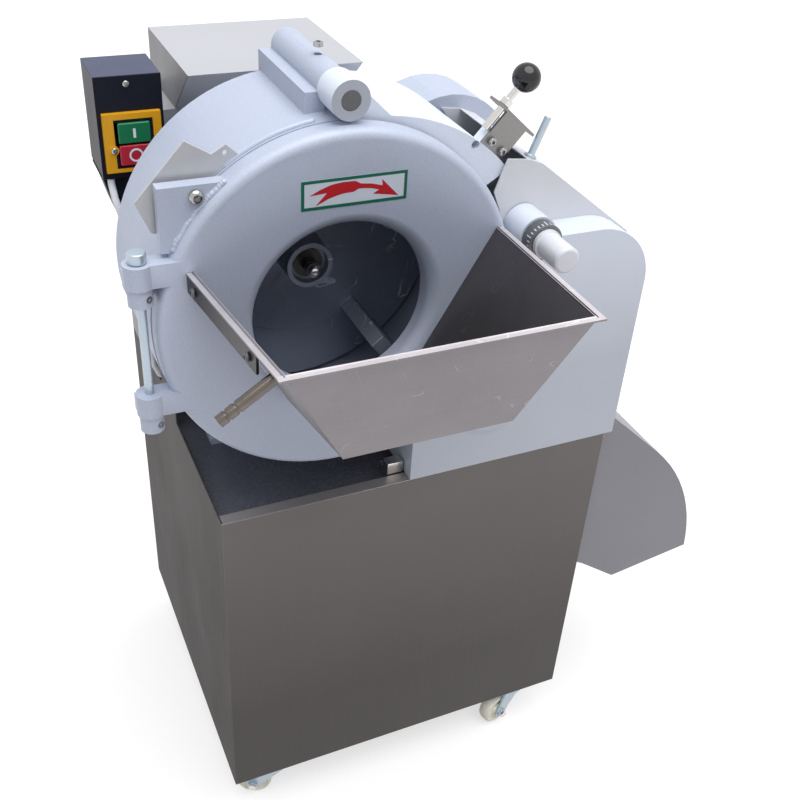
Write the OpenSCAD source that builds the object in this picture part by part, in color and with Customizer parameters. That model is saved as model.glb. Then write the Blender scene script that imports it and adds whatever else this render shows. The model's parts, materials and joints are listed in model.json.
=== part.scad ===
// Drum-type vegetable dicer on a caster cabinet.
// Sizes in millimetres. +X right, +Y to the back, +Z up, seen from the hopper side.
// Inside the modules x = 0 is the cabinet's left side, y = 0 its front, z = 0 its floor pan.

/* [Cabinet] */
// width of the sheet cabinet
cabinet_w = 500; // [480:5:540]
// depth of the sheet cabinet
cabinet_d = 445; // [430:5:480]
// height of the sheet cabinet without casters
cabinet_h = 470; // [430:5:520]
// thickness of the stainless sheet
sheet_t = 2; // [1:0.5:3]
// how far the top plate lies below the cabinet rim
top_drop = 10; // [6:1:16]
// width of the folded front rim
rim_w = 16; // [12:1:24]
// height of the floor pan's upturned edge
pan_h = 30; // [20:1:40]
// thickness of the floor pan
pan_t = 3; // [2:0.5:5]

/* [Casters] */
// height from floor to cabinet
caster_h = 72; // [68:1:80]
// radius of the nylon wheels
wheel_r = 25; // [22:1:27]
// width of the nylon wheels
wheel_w = 20; // [16:1:24]
// distance of each swivel axis from the cabinet's left or right side
caster_in_x = 60; // [45:1:80]
// distance of each swivel axis from the cabinet's front or back
caster_in_y = 27; // [26:1:60]
// distance of the wheel axle behind the swivel axis
caster_trail = 26; // [20:1:30]
// side of the square caster plates
caster_plate_w = 50; // [46:1:52]
// radius of the caster kingpins
kingpin_r = 5; // [4:0.5:6]
// radius of the caster axles
axle_r = 4; // [3:0.5:5]

/* [Drum and door] */
// drum axis from the cabinet's left side
drum_x = 144; // [140:1:150]
// drum axis above the cabinet rim
drum_up = 238; // [230:1:250]
// radius of the hinged front door
door_r = 193; // [186:1:198]
// thickness of the door rim
door_t = 26; // [22:1:32]
// door face behind the cabinet front
door_y = 10; // [6:1:16]
// rounding of the door's outer edge
door_round = 10; // [4:1:14]
// rounding of the feed opening
feed_round = 14; // [6:1:16]
// thickness of the door's web
door_web = 16; // [14:1:20]
// radius of the feed opening
feed_r = 96; // [88:1:104]
// length of the drum inside
drum_len = 150; // [140:1:160]
// thickness of the cast drum wall
drum_wall = 16; // [12:1:18]
// thickness of the drum's rear wall
back_t = 12; // [10:1:16]

/* [Door hinge] */
// hinge axis left of the door rim
hinge_off = 11; // [10:0.5:14]
// radius of the hinge rod
rod_r = 4.5; // [4:0.5:6]
// outer radius of the door lugs
lug_r = 14; // [12:0.5:16]
// height of the door lugs
lug_h = 24; // [18:1:28]
// distance between the two door lugs
lug_pitch = 144; // [130:1:150]
// height of the fixed knuckles
knuckle_h = 19; // [14:1:22]

/* [Hopper] */
// reach of the hopper rim in front of the door
hopper_reach = 215; // [190:5:230]
// middle of the hopper right of the drum axis
hopper_dx = 6; // [0:1:8]
// half width of the rim at the door
hopper_half = 163; // [155:1:168]
// half width of the rim at the front
hopper_front_half = 146; // [140:1:152]
// half width of the front wall's bottom edge
hopper_floor_half = 85; // [75:1:100]
// reach of the front wall's bottom edge
hopper_floor_reach = 195; // [175:5:205]
// rim height at the door above the drum axis
hopper_up = 72; // [64:1:80]
// rim height at the front above the drum axis
hopper_front_up = 86; // [76:1:95]
// front wall's bottom edge below the drum axis
hopper_floor_dn = 26; // [20:1:40]
// sheet of the hopper
hopper_t = 2; // [1.5:0.5:3]
// width of the folded hopper rim
hopper_rim = 5; // [3:1:8]
// height of the side bar under the left rim
bar_h = 18; // [14:1:24]
// radius of the grooved hopper pin
pin_r = 5.5; // [4:0.5:7]
// length of the grooved hopper pin
pin_l = 62; // [50:1:75]

/* [Slice gate] */
// inner radius of the gate beyond the drum's inner radius
gate_gap = 3; // [2:0.5:6]
// radius of the gate's outer face
gate_r = 211; // [205:1:215]
// offset of the gate's outer face along 30 degrees below the horizontal
gate_off = 39; // [34:1:42]
// angle at which the gate ends
gate_end = 32; // [30:1:36]
// pivot axis above the drum axis
pivot_up = 216; // [214:1:222]
// radius of the gate's front boss
boss_r = 19.5; // [16:0.5:20]
// length of the gate's front boss
boss_l = 38; // [30:1:44]
// radius of the pivot pin
pivot_r = 10; // [8:0.5:11]
// radius of the pivot tube
tube_r = 17; // [14:1:19]

/* [Gate lock] */
// width of the lock bracket
bracket_w = 34; // [30:1:40]
// length of the lock bracket
bracket_l = 43; // [36:1:50]
// thickness of the lock bracket
bracket_t = 4; // [3:0.5:5]
// radius of the plunger rod
plunger_r = 4; // [3:0.5:5]
// radius of the black ball
ball_r = 15; // [14:0.5:18]
// length of the plunger rod
plunger_l = 58; // [52:1:66]

/* [Cutter housing] */
// top of the front cover above the cabinet rim
cover_up = 293; // [285:1:300]
// radius of the cover's upper right corner
corner_r = 75; // [60:1:90]
// left end of the front cover, right of the drum axis
cover_left = 84; // [76:1:92]
// gap between door rim and front cover
door_gap = 6; // [4:0.5:8]
// reach of cover and housing past the cabinet's right side
cover_over = 12; // [6:1:16]
// wall of the front cover
cover_t = 3; // [2:0.5:4]
// wall of the cutter housing
housing_t = 4; // [3:0.5:6]
// left edge of the sheet hood right of the drum axis
hood_dx = 188; // [184:1:194]
// top of the sheet hood above the drum axis
hood_up = 130; // [126:1:134]
// rise of the sheet hood over the housing
hood_rise = 26; // [20:1:30]
// radius of the cross-cut rotor
cross_r = 48; // [44:1:50]
// radius of the strip-cut discs
strip_r = 42; // [36:1:46]
// height between the two cutter shafts
cutter_pitch = 110; // [104:1:116]
// radius of the two cutter shafts
spindle_r = 10; // [8:0.5:12]
// number of cross-cut blades
cross_blades = 8; // [6:1:10]
// number of strip-cut discs
strip_discs = 11; // [8:1:13]

/* [Thickness dial] */
// dial axis right of the drum axis
dial_dx = 213; // [210:1:218]
// dial axis above the drum axis
dial_dz = 59; // [56:1:64]
// radius of the boss on the front cover
dial_boss_r = 22; // [20:1:24]
// radius of the graduated ring
ring_r = 20; // [17:1:21]
// length of the graduated ring
ring_l = 16; // [12:1:20]
// radius of the grip cap
cap_r = 16; // [14:1:18]
// length of the grip cap
cap_l = 44; // [38:1:50]
// radius of the dial spindle
dial_spindle_r = 6; // [5:0.5:7]

/* [Drive] */
// radius of the main shaft
shaft_r = 12; // [10:0.5:14]
// radius of the impeller
impeller_r = 170; // [160:1:172]
// thickness of the impeller disc
impeller_t = 8; // [6:1:12]
// number of impeller paddles
paddles = 4; // [3:1:6]
// radius of the impeller hub
hub_r = 27; // [24:1:32]
// half width of the hub nut over its corners
nut_r = 9; // [8:0.5:11]
// depth of the gear case behind the drum
gear_t = 92; // [80:1:100]
// radius of the gear case round the cutter gears
gear_r = 85; // [75:1:90]
// radius of the large belt pulley
pulley_r = 90; // [80:1:95]
// radius of the motor pulley
motor_pulley_r = 40; // [35:1:45]
// width of both pulleys
pulley_w = 30; // [26:1:36]
// radius of the motor body
motor_r = 68; // [60:1:75]
// length of the motor body
motor_l = 190; // [170:5:200]
// motor axis from the cabinet's left side
motor_x = 210; // [180:5:240]
// radius of the motor shaft
motor_shaft_r = 9; // [8:0.5:12]

/* [Rear covers] */
// depth of the belt guard
guard_d = 110; // [100:1:120]
// width of the belt guard
guard_w = 290; // [270:5:300]
// height of the belt guard above the cabinet rim
guard_up = 348; // [344:1:370]
// left face of the upper cover from the cabinet's left side
upper_x = 56; // [50:1:70]
// width of the upper cover
upper_w = 206; // [190:1:220]
// height of the upper cover
upper_h = 60; // [50:1:70]
// overhang of the upper cover towards the drum
upper_over = 70; // [60:1:76]
// overhang of the upper cover past the cabinet's back
upper_lip = 11; // [4:1:20]

/* [Switch] */
// width of the switch box
switch_w = 72; // [66:1:80]
// height of the switch box
switch_h = 114; // [105:1:125]
// depth of the switch box
switch_d = 70; // [60:1:80]
// right side of the switch box from the cabinet's left side
switch_right = 27; // [20:1:40]
// bottom of the switch box above the cabinet rim
switch_up = 300; // [290:1:310]
// width of the yellow bezel
bezel_w = 63; // [58:1:65]
// height of the yellow bezel
bezel_h = 66; // [62:1:72]
// thickness of the yellow bezel
bezel_t = 6; // [4:0.5:8]
// width of both buttons
button_w = 35; // [32:1:36]
// height of both buttons
button_h = 23; // [20:1:24]
// how far the buttons stand out of the bezel
button_out = 2; // [1:0.5:4]
// radius of the switch cable
cable_r = 4; // [3:0.5:5]

/* [Discharge chute] */
// reach of the chute past the cabinet's right side
chute_reach = 207; // [190:1:220]
// front wall of the chute behind the cabinet front
chute_y = 15; // [10:1:24]
// inside width of the chute along the housing
chute_w = 180; // [160:1:184]
// top of the chute above the cabinet rim, beside the housing
chute_up = 19; // [12:1:26]
// outlet of the chute below the cabinet rim
chute_drop = 272; // [250:2:290]
// radius of the chute's bend
chute_bend = 304; // [280:2:320]
// sheet of the chute
chute_t = 2; // [1.5:0.5:3]

/* [Mains inlet] */
// radius of the cable bore in the gland
gland_bore_r = 5; // [4:0.5:6]
// how far the gland stands out of the cabinet's back
gland_out = 24; // [18:1:30]

/* [Clearances] */
// radial clearance of every running fit
run_fit = 0.05; // [0.03:0.01:0.08]
// gap between faces that pass each other
face_gap = 0.4; // [0.3:0.1:0.8]

/* [Hidden] */

cx = drum_x;
cz = cabinet_h + drum_up;
door_back = door_y + door_t;
drum_y = door_back + face_gap;
wall_y = drum_y + drum_len;
back_y = wall_y + back_t;
drum_r = door_r + 1;
drum_in = drum_r - drum_wall;
hinge_x = cx - door_r - hinge_off;
hinge_y = door_y + 10;
lug_top_z = cz + 60;
lug_low_z = lug_top_z - lug_pitch;
bolt_x = cx - 146;
bolt_z = cz + 142;
guard_y = cabinet_d - guard_d;
guard_z = cabinet_h + guard_up;
tread_z = cabinet_h - top_drop;

pivot_x = cx + 4;
pivot_z = cz + pivot_up;
boss_y = door_y + 12;
gate_y = door_back + 6;
gate_l = wall_y - 1 - gate_y;
gate_in = drum_in + gate_gap;
gate_cx = cx + gate_off * cos(30);
gate_cz = cz - gate_off * sin(30);
tube_y = boss_y + boss_l + 2;
tube_l = back_y + 6 - tube_y;

bracket_a = 49;
bracket_x = cx + 222 * cos(38.3);
bracket_z = cz + 222 * sin(38.3);
bracket_y = gate_y + 8;
plunger_v = -bracket_w / 2 - plunger_r - 0.6;
plunger_u = 13;
plunger_y = bracket_y + bracket_t + 2;

cover_top = cabinet_h + cover_up;
cover_right = cabinet_w + cover_over;
dial_x = cx + dial_dx;
dial_z = cz + dial_dz;
cross_x = cx + door_r + door_gap + housing_t + cross_r + 4;
cross_z = cz - 18;
strip_x = cover_right - housing_t - 2 * strip_r;
strip_z = cross_z - cutter_pitch;
idler_x = dial_x - 12;
idler_z = dial_z + 3;
cut_y = drum_y + 24;
cut_l = wall_y - 8 - cut_y;

disc_y = wall_y - 22;
hub_y = disc_y - 48;
hub_seat = hub_y + 10;
pulley_y = guard_y + (guard_d - pulley_w) / 2;
motor_z = pan_t + motor_r + 22;
motor_y = pulley_y - 36 - motor_l;
belt_t = 8;

switch_x = switch_right - switch_w;
switch_y = guard_y - switch_d;
switch_z = cabinet_h + switch_up;
bezel_x = switch_x + (switch_w - bezel_w) / 2;
bezel_z = switch_z + 9;
// the window lies off the bezel's middle
win_w = button_w + 7.5;
win_h = 2 * button_h + 9;
win_x = bezel_x + 0.56 * (bezel_w - win_w);
win_z = bezel_z + 0.39 * (bezel_h - win_h);
lugs = [[bezel_x + 0.155 * bezel_w, bezel_z + 0.39 * bezel_h],
  [bezel_x + 0.89 * bezel_w, bezel_z + 0.42 * bezel_h]];
button_x = win_x + (win_w - button_w) / 2;
start_z = win_z + win_h / 2 + 1;
stop_z = win_z + win_h / 2 - 1 - button_h;
button_l = 18;

// the hopper stands on the door face with the upper edge of its slanted floor
hop_x = cx + hopper_dx;
hop_y = door_y - hopper_t / 2;
hop_a = [hop_x - hopper_half, hop_y, cz + hopper_up];
hop_b = [hop_x - hopper_front_half, door_y - hopper_reach, cz + hopper_front_up];
hop_c = [hop_x - hopper_floor_half, door_y - hopper_floor_reach, cz - hopper_floor_dn];
hop_n = unit(cross(hop_c - hop_a, hop_b - hop_a));
hop_drop = hopper_up + feed_r + 4;
hop_d = [hop_a[0] + hop_drop * hop_n[2] / hop_n[0], hop_y, hop_a[2] - hop_drop];
bar_turn = atan((hop_b[0] - hop_a[0]) / (hop_a[1] - hop_b[1]));

x_low = hinge_x - lug_r;
x_high = cabinet_w + chute_reach;
y_low = door_y - hopper_reach - hopper_rim;
y_high = cabinet_d + max(gland_out, upper_lip);
mid_x = (x_low + x_high) / 2;
mid_y = (y_low + y_high) / 2;

caster_spots = [[caster_in_x, caster_in_y, -115], [cabinet_w - caster_in_x, caster_in_y, -75],
  [caster_in_x, cabinet_d - caster_in_y, -60], [cabinet_w - caster_in_x, cabinet_d - caster_in_y, -100]];
plate_t = 3;
chute_end = -86;
chute_x = cover_right + face_gap;
stud_a = 21;

// the hood's slope touches a circle just outside the cover's round corner
hood_top = [cx + hood_dx + hood_rise + 18, cz + hood_up - 18 * tan(stud_a)];
corner_c = [cover_right - corner_r, cover_top - corner_r];
hood_r = corner_r + 1.3 * sheet_t;
hood_to = hood_top - corner_c;
hood_a = atan2(hood_to[1], hood_to[0]) - acos(hood_r / norm(hood_to));
hood_end = corner_c + hood_r * [cos(hood_a), sin(hood_a)] + 0.29 * corner_r * [sin(hood_a), -cos(hood_a)];
axle_z = wheel_r - caster_h;

cable_run = [[9, 6, 4], [9, 4, -8], [10, -3, -22], [14, -9, -40], [20, -9, -62], [26, -7, -86],
  [31, -3, -115], [35, 3, -150], [37, 9, -190], [37, 13, -230], [39, 15, -260], [45, 16, -276],
  [58, 16, -286], [70, 16, -296], [75, 16, -308], [75, 16, -318]];
cable_path = [for (p = cable_run) p + [switch_x, switch_y, switch_z]];
drop_x = cx + 150;
drop_l = cabinet_w - 12 - drop_x;
drop_y = drum_y + 8;
drop_w = drum_len - 12;
gland_x = cabinet_w - 90;
gland_z = 120;

function mirrored(p) = [2 * hop_x - p[0], p[1], p[2]];
function unit(v) = v / norm(v);

// everything is shifted so that the origin lies under the middle of the whole machine
module in_frame() {
  translate([-mid_x, -mid_y, caster_h]) children();
}

module ycyl(p, r, l, fn = 64) {
  translate(p) rotate([-90, 0, 0]) cylinder(r = r, h = l, $fn = fn);
}

module xcyl(p, r, l, fn = 48) {
  translate(p) rotate([0, 90, 0]) cylinder(r = r, h = l, $fn = fn);
}

module zcyl(p, r, l, fn = 48) {
  translate(p) cylinder(r = r, h = l, $fn = fn);
}

// an outline in x and z, drawn out along y
module slab(y, l) {
  translate([0, y + l, 0]) rotate([90, 0, 0]) linear_extrude(height = l) children();
}

// an outline in y and z, drawn out along x
module side(x, l) {
  translate([x, 0, 0]) rotate([90, 0, 90]) linear_extrude(height = l) children();
}

module wedge(a0, a1, r) {
  polygon(concat([[0, 0]], [for (i = [0:4]) r * [cos(a0 + (a1 - a0) * i / 4), sin(a0 + (a1 - a0) * i / 4)]]));
}

// a flat sheet on four corners, thickened away from the side that its normal points to
module panel(q, t) {
  n = unit(cross(q[1] - q[0], q[2] - q[0]));
  polyhedron(points = concat(q, [for (p = q) p - n * t]),
    faces = [[3, 2, 1, 0], [4, 5, 6, 7], [0, 1, 5, 4], [1, 2, 6, 5], [2, 3, 7, 6], [3, 0, 4, 7]]);
}

// the lock bracket's own axes: u away from the gate, v along its edge
module on_bracket() {
  translate([bracket_x, bracket_y, bracket_z]) rotate([0, -bracket_a, 0]) children();
}

function ring_axes(d) = let (s = unit(cross(d, abs(d[2]) > 0.9 ? [1, 0, 0] : [0, 0, 1]))) [s, cross(s, d)];

// a round tube swept along a route
module swept(path, r, sides = 10) {
  n = len(path);
  dirs = [for (i = [0:n - 1]) unit(path[min(i + 1, n - 1)] - path[max(i - 1, 0)])];
  pts = [for (i = [0:n - 1]) let (f = ring_axes(dirs[i])) for (k = [0:sides - 1])
    path[i] + r * (f[0] * cos(360 * k / sides) + f[1] * sin(360 * k / sides))];
  walls = [for (i = [0:n - 2]) for (k = [0:sides - 1])
    [i * sides + k, i * sides + (k + 1) % sides, (i + 1) * sides + (k + 1) % sides, (i + 1) * sides + k]];
  polyhedron(points = pts, faces = concat(walls, [[for (k = [sides - 1:-1:0]) k]],
    [[for (k = [0:sides - 1]) (n - 1) * sides + k]]), convexity = 6);
}

module base_pan() {
  color("silver") in_frame() difference() {
    translate([sheet_t, sheet_t, 0]) cube([cabinet_w - 2 * sheet_t, cabinet_d - 2 * sheet_t, pan_h]);
    translate([2 * sheet_t, 2 * sheet_t, pan_t])
      cube([cabinet_w - 4 * sheet_t, cabinet_d - 4 * sheet_t, pan_h]);
    for (s = caster_spots) zcyl([s[0], s[1], -1], kingpin_r + 1, pan_t + 2);
  }
}

module cabinet_shell() {
  color("silver") in_frame() difference() {
    union() {
      translate([0, sheet_t, 0]) cube([sheet_t, cabinet_d - sheet_t, cabinet_h]);
      translate([cabinet_w - sheet_t, sheet_t, 0]) cube([sheet_t, cabinet_d - sheet_t, cabinet_h]);
      translate([0, cabinet_d - sheet_t, 0]) cube([cabinet_w, sheet_t, cabinet_h]);
      side(0, sheet_t) polygon([[back_y + 2, cabinet_h - 1], [guard_y, cabinet_h - 1],
        [guard_y, switch_z - 45], [guard_y - 60, switch_z - 45], [back_y + 2, cabinet_h + 150]]);
    }
    ycyl([gland_x, cabinet_d - sheet_t - 1, gland_z], gland_bore_r + 3, sheet_t + 2);
    xcyl([-1, cable_path[11][1], cable_path[11][2] + 1], cable_r + 6, sheet_t + 2);
    // way from the cutters into the chute
    translate([cabinet_w - sheet_t - 1, chute_y + chute_t + 20, cabinet_h - chute_drop + 106])
      cube([sheet_t + 2, chute_w - 40, chute_drop - 114]);
    for (i = [0:5])
      translate([motor_x - 60, cabinet_d - sheet_t - 1, 60 + i * 22]) cube([120, sheet_t + 2, 7]);
  }
}

module front_panel() {
  color("silver") in_frame() {
    cube([cabinet_w, sheet_t, cabinet_h]);
    translate([sheet_t, 0, cabinet_h - sheet_t]) cube([cabinet_w - 2 * sheet_t, rim_w, sheet_t]);
    translate([sheet_t, rim_w - sheet_t, cabinet_h - 8]) cube([cabinet_w - 2 * sheet_t, sheet_t, 8]);
  }
}

module top_plate() {
  color("dimgray") in_frame() difference() {
    translate([sheet_t, sheet_t, tread_z - sheet_t])
      cube([cabinet_w - 2 * sheet_t, cabinet_d - 2 * sheet_t, sheet_t]);
    translate([cx - pulley_r - 14, pulley_y - 12, tread_z - sheet_t - 1])
      cube([2 * pulley_r + 40, pulley_w + 24, sheet_t + 2]);
    translate([drop_x, drop_y, tread_z - sheet_t - 1]) cube([drop_l, drop_w, sheet_t + 2]);
    zcyl([switch_x + 75, switch_y + 16, tread_z - sheet_t - 1], cable_r + 2, sheet_t + 2);
  }
}

module panel_screws() {
  color("white") in_frame() for (z = [0.985, 0.606, 0.128] * cabinet_h) for (y = [6, cabinet_d - 8]) {
    xcyl([cabinet_w, y, z], 4, 1.5, 32);
    translate([cabinet_w + 1.5, y, z]) rotate([0, 90, 0]) cylinder(r1 = 4, r2 = 2.2, h = 1.6, $fn = 32);
  }
}

module knuckle(z) {
  zcyl([hinge_x, hinge_y, z], 12, knuckle_h);
  translate([hinge_x - 9, hinge_y, z]) cube([18, drum_y + 24 - hinge_y, knuckle_h]);
  translate([hinge_x - 9, drum_y + 2, z]) cube([cx - drum_in - hinge_x + 30, 22, knuckle_h]);
}

module blade_box(grow) {
  translate([cx, 0, cz]) rotate([0, -16, 0])
    translate([drum_in + 4 - grow, cut_y - 6, -16 - grow]) cube([3 + 2 * grow, cut_l + 12, 46 + grow]);
}

module drum_case() {
  color("lightgray") in_frame() difference() {
    union() {
      // the drum is open where the gate lies
      difference() {
        ycyl([cx, drum_y, cz], drum_r, drum_len + back_t, 128);
        slab(drum_y - 1, drum_len + 1) translate([cx, cz]) wedge(14, 90.6, 2 * drum_r);
      }
      knuckle(lug_top_z - face_gap - knuckle_h);
      knuckle(lug_low_z - face_gap - knuckle_h);
      ycyl([pivot_x, tube_y, pivot_z], tube_r, tube_l);
      translate([pivot_x - tube_r, back_y - back_t, cz + drum_r - 30])
        cube([18, back_t + 6, pivot_up - drum_r + 30]);
      translate([cx - 27, tube_y, cz + drum_r - 9]) cube([20, tube_l, pivot_up - drum_r + 6]);
      slab(wall_y, back_t)
        polygon([[cx - 100, tread_z], [cx + 66, tread_z], [cx + 60, cz - 90], [cx - 120, cz - 60]]);
      translate([cx - 112, wall_y - 30, tread_z]) cube([190, back_t + 50, 8]);
    }
    ycyl([cx, drum_y - 1, cz], drum_in, drum_len + 1, 128);
    ycyl([cx, wall_y - 1, cz], shaft_r + run_fit, back_t + 2);
    ycyl([pivot_x, tube_y - 1, pivot_z], pivot_r, tube_l - 20);
    zcyl([hinge_x, hinge_y, lug_low_z - 40], rod_r, lug_pitch + 80);
    zcyl([pivot_x, tube_y + 48, pivot_z], 4, tube_r + 4);
    blade_box(0);
  }
}

module pivot_pin() {
  color("gainsboro") in_frame() ycyl([pivot_x, boss_y, pivot_z], pivot_r, tube_y + tube_l - 21 - boss_y);
}

module pivot_screw() {
  color("gray") in_frame() {
    zcyl([pivot_x, tube_y + 48, pivot_z + pivot_r], 4, tube_r - pivot_r + 5);
    translate([pivot_x - 5, tube_y + 43, pivot_z + tube_r + 4]) cube([10, 10, 8]);
  }
}

module gear_case() {
  color("whitesmoke") in_frame() difference() {
    hull() for (s = [[cx, cz, gear_r], [idler_x, idler_z, gear_r], [strip_x, strip_z, gear_r - 20]]) {
      ycyl([s[0], back_y, s[1]], s[2], gear_t - 14, 32);
      ycyl([s[0], back_y, s[1]], s[2] - 14, gear_t, 32);
    }
    ycyl([cx, back_y - 1, cz], shaft_r + run_fit, gear_t + 2);
    ycyl([cross_x, back_y - 1, cross_z], spindle_r + run_fit, 61);
    ycyl([strip_x, back_y - 1, strip_z], spindle_r + run_fit, 61);
    translate([pivot_x - tube_r - 1, back_y - 1, cz + drum_r - 32]) cube([22, 8, 80]);
  }
}

module belt_guard() {
  color("silver") in_frame() difference() {
    translate([0, guard_y, cabinet_h]) cube([guard_w, guard_d, guard_up]);
    translate([sheet_t, guard_y + sheet_t, cabinet_h - 1])
      cube([guard_w - 2 * sheet_t, guard_d - 2 * sheet_t, guard_up + 1 - sheet_t]);
    ycyl([cx, guard_y - 1, cz], shaft_r + 8, sheet_t + 2);
  }
}

module upper_cover() {
  lean = upper_over / upper_h;
  skin = sheet_t * sqrt(1 + lean * lean);
  back = cabinet_d + upper_lip;
  top = guard_z + upper_h;
  color("silver") in_frame() difference() {
    side(upper_x, upper_w)
      polygon([[guard_y, guard_z], [back, guard_z], [back, top], [guard_y - upper_over, top]]);
    side(upper_x + sheet_t, upper_w - 2 * sheet_t) polygon([[guard_y + skin + lean, guard_z - 1],
      [back - sheet_t, guard_z - 1], [back - sheet_t, top - sheet_t],
      [guard_y - lean * (upper_h - sheet_t) + skin, top - sheet_t]]);
  }
}

module motor() {
  color("steelblue") in_frame() difference() {
    union() {
      ycyl([motor_x, motor_y, motor_z], motor_r, motor_l);
      ycyl([motor_x, motor_y + motor_l, motor_z], motor_shaft_r + 14, 6);
      translate([motor_x - motor_r, motor_y + 40, pan_t]) cube([2 * motor_r, motor_l - 80, 12]);
      translate([motor_x - 40, motor_y + 40, pan_t]) cube([80, motor_l - 80, motor_r]);
      translate([motor_x + motor_r - 12, motor_y + 50, motor_z - 30]) cube([34, 80, 60]);
    }
    ycyl([motor_x, motor_y + motor_l - 34, motor_z], motor_shaft_r + run_fit, 60);
  }
}

module belt_loop(extra, y, l) {
  hull() {
    ycyl([cx, y, cz], pulley_r + extra, l, 48);
    ycyl([motor_x, y, motor_z], motor_pulley_r + extra, l, 48);
  }
}

module drive_belt() {
  color("black") in_frame() difference() {
    belt_loop(belt_t + face_gap, pulley_y + 6, pulley_w - 12);
    belt_loop(face_gap, pulley_y, pulley_w);
  }
}

// the outline shared by front cover and cutter housing, its walls moved in by g
module cut_outline(y, l, g) {
  left = cx + cover_left + g;
  low = cabinet_h + g;
  difference() {
    union() {
      translate([left, y, low]) cube([cover_right - g - left, l, cover_top - corner_r - low]);
      translate([left, y, low]) cube([cover_right - corner_r - left, l, cover_top - g - low]);
      ycyl([cover_right - corner_r, y, cover_top - corner_r], corner_r - g, l);
    }
    ycyl([cx, y - 1, cz], door_r + door_gap + g, l + 2, 128);
  }
}

module cutter_housing() {
  color("lightgray") in_frame() difference() {
    union() {
      difference() {
        cut_outline(drum_y, back_y - drum_y, 0);
        cut_outline(drum_y - 1, wall_y - drum_y + 1, housing_t);
      }
      translate([cx + cover_left + 10, drum_y, tread_z])
        cube([cabinet_w - sheet_t - 0.5 - cx - cover_left - 10, back_y - drum_y, top_drop]);
    }
    // slices come in from the drum and from under the hood, and drop out through the floor
    slab(drop_y, drop_w) translate([cx, cz]) wedge(4, 36, door_r + 60);
    translate([cx + 170, drop_y, cover_top - 12]) cube([cover_right - corner_r - cx - 170, drop_w, 20]);
    translate([drop_x, drop_y, tread_z - 1]) cube([drop_l, drop_w, top_drop + housing_t + 2]);
    ycyl([cross_x, wall_y - 1, cross_z], spindle_r + run_fit, back_t + 2);
    ycyl([strip_x, wall_y - 1, strip_z], spindle_r + run_fit, back_t + 2);
  }
}

module front_cover() {
  color("lightgray") in_frame() difference() {
    union() {
      difference() {
        cut_outline(0, drum_y, 0);
        cut_outline(cover_t, drum_y, cover_t);
      }
      ycyl([dial_x, 0, dial_z], dial_boss_r, drum_y);
      ycyl([cx + 182, -2, cabinet_h + 85], 36, 3);
    }
    ycyl([dial_x, -1, dial_z], dial_spindle_r + run_fit, 32);
  }
}

module hood_outline(g) {
  x = cx + hood_dx;
  z = cz + hood_up;
  polygon([[x + g, z + 3 - 2 * g], [x + hood_rise, z - g], [hood_top[0], hood_top[1] - g],
    [hood_end[0] - g, hood_end[1] - g], [cover_right - g, hood_end[1] - 0.65 * hood_rise - g],
    [cover_right - g, cover_top - corner_r - 10], [cover_right - corner_r - 15, cover_top - corner_r - 10],
    [x + 88 - 0.9 * hood_rise, cover_top - 5 - 2 * g]]);
}

module cutter_hood() {
  rim = drum_r + door_gap + 1;
  color("lightgray") in_frame() difference() {
    union() {
      difference() {
        slab(drum_y + 1, back_y - drum_y - 1) hood_outline(0);
        slab(drum_y + 3, back_y - drum_y - 5) hood_outline(sheet_t);
        // the upper end stays open over the gate
        slab(drum_y + 3, back_y - drum_y - 5) polygon([[cx + hood_dx - 18, cz + 60],
          [cx + hood_dx - 18, cz + hood_up + 15], [cx + hood_dx + 18, cz + hood_up + 15],
          [cx + hood_dx + hood_rise, cz + hood_up - 4], [cx + hood_dx + 112, cz + 40]]);
      }
      // front wall between the hood and the slot at the gate's end
      slab(drum_y + 1, sheet_t) polygon([[cx + hood_dx, cz + hood_up + 3],
        [cx + hood_dx + 88 - 0.9 * hood_rise, cover_top - 5], [cx + hood_dx, cover_top - 5],
        [cx + rim * cos(gate_end - 16), cz + rim * sin(gate_end - 16)],
        [cx + rim * cos(gate_end - 3), cz + rim * sin(gate_end - 3)]]);
    }
    cut_outline(drum_y, back_y, 0);
    ycyl([cx, drum_y, cz], rim - 1, 20, 128);
  }
}

module hood_stud() {
  color("gainsboro") in_frame()
    translate([cx + hood_dx + hood_rise + 8, drum_y + 14, cz + hood_up + 0.05 - 8 * tan(stud_a)])
      rotate([0, stud_a, 0]) {
        cylinder(r = 4, h = 45, $fn = 32);
        cylinder(r = 7, h = 3, $fn = 32);
      }
}

module slicing_knife() {
  color("whitesmoke") in_frame() difference() {
    blade_box(0);
    translate([cx, 0, cz]) rotate([0, -16, 0]) translate([drum_in + 4, 0, 26]) rotate([0, -22, 0])
      translate([0, 0, -10]) cube([20, 2 * back_y, 60]);
  }
}

module impeller() {
  color("lightslategray") in_frame() difference() {
    union() {
      ycyl([cx, disc_y, cz], impeller_r, impeller_t, 128);
      ycyl([cx, disc_y - 5, cz], 105, 6, 96);
      ycyl([cx, hub_y, cz], hub_r, disc_y - hub_y + 1);
      for (i = [0:paddles - 1]) translate([cx, 0, cz]) rotate([0, 52 + i * 360 / paddles, 0])
        translate([99, drum_y + 26, -9]) cube([impeller_r - 102, disc_y - drum_y - 25, 18]);
    }
    ycyl([cx, hub_y - 1, cz], hub_r - 6, hub_seat - hub_y + 1);
    ycyl([cx, hub_y - 1, cz], shaft_r, 80);
  }
}

module impeller_nut() {
  color("white") in_frame() difference() {
    union() {
      ycyl([cx, hub_seat - 2, cz], hub_r - 10, 2);
      ycyl([cx, hub_seat - 14, cz], nut_r, 13, 6);
      translate([cx, hub_seat - 14, cz]) sphere(r = 0.8 * nut_r, $fn = 48);
    }
    ycyl([cx, hub_seat - 10, cz], nut_r / 2, 20);
  }
}

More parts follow.
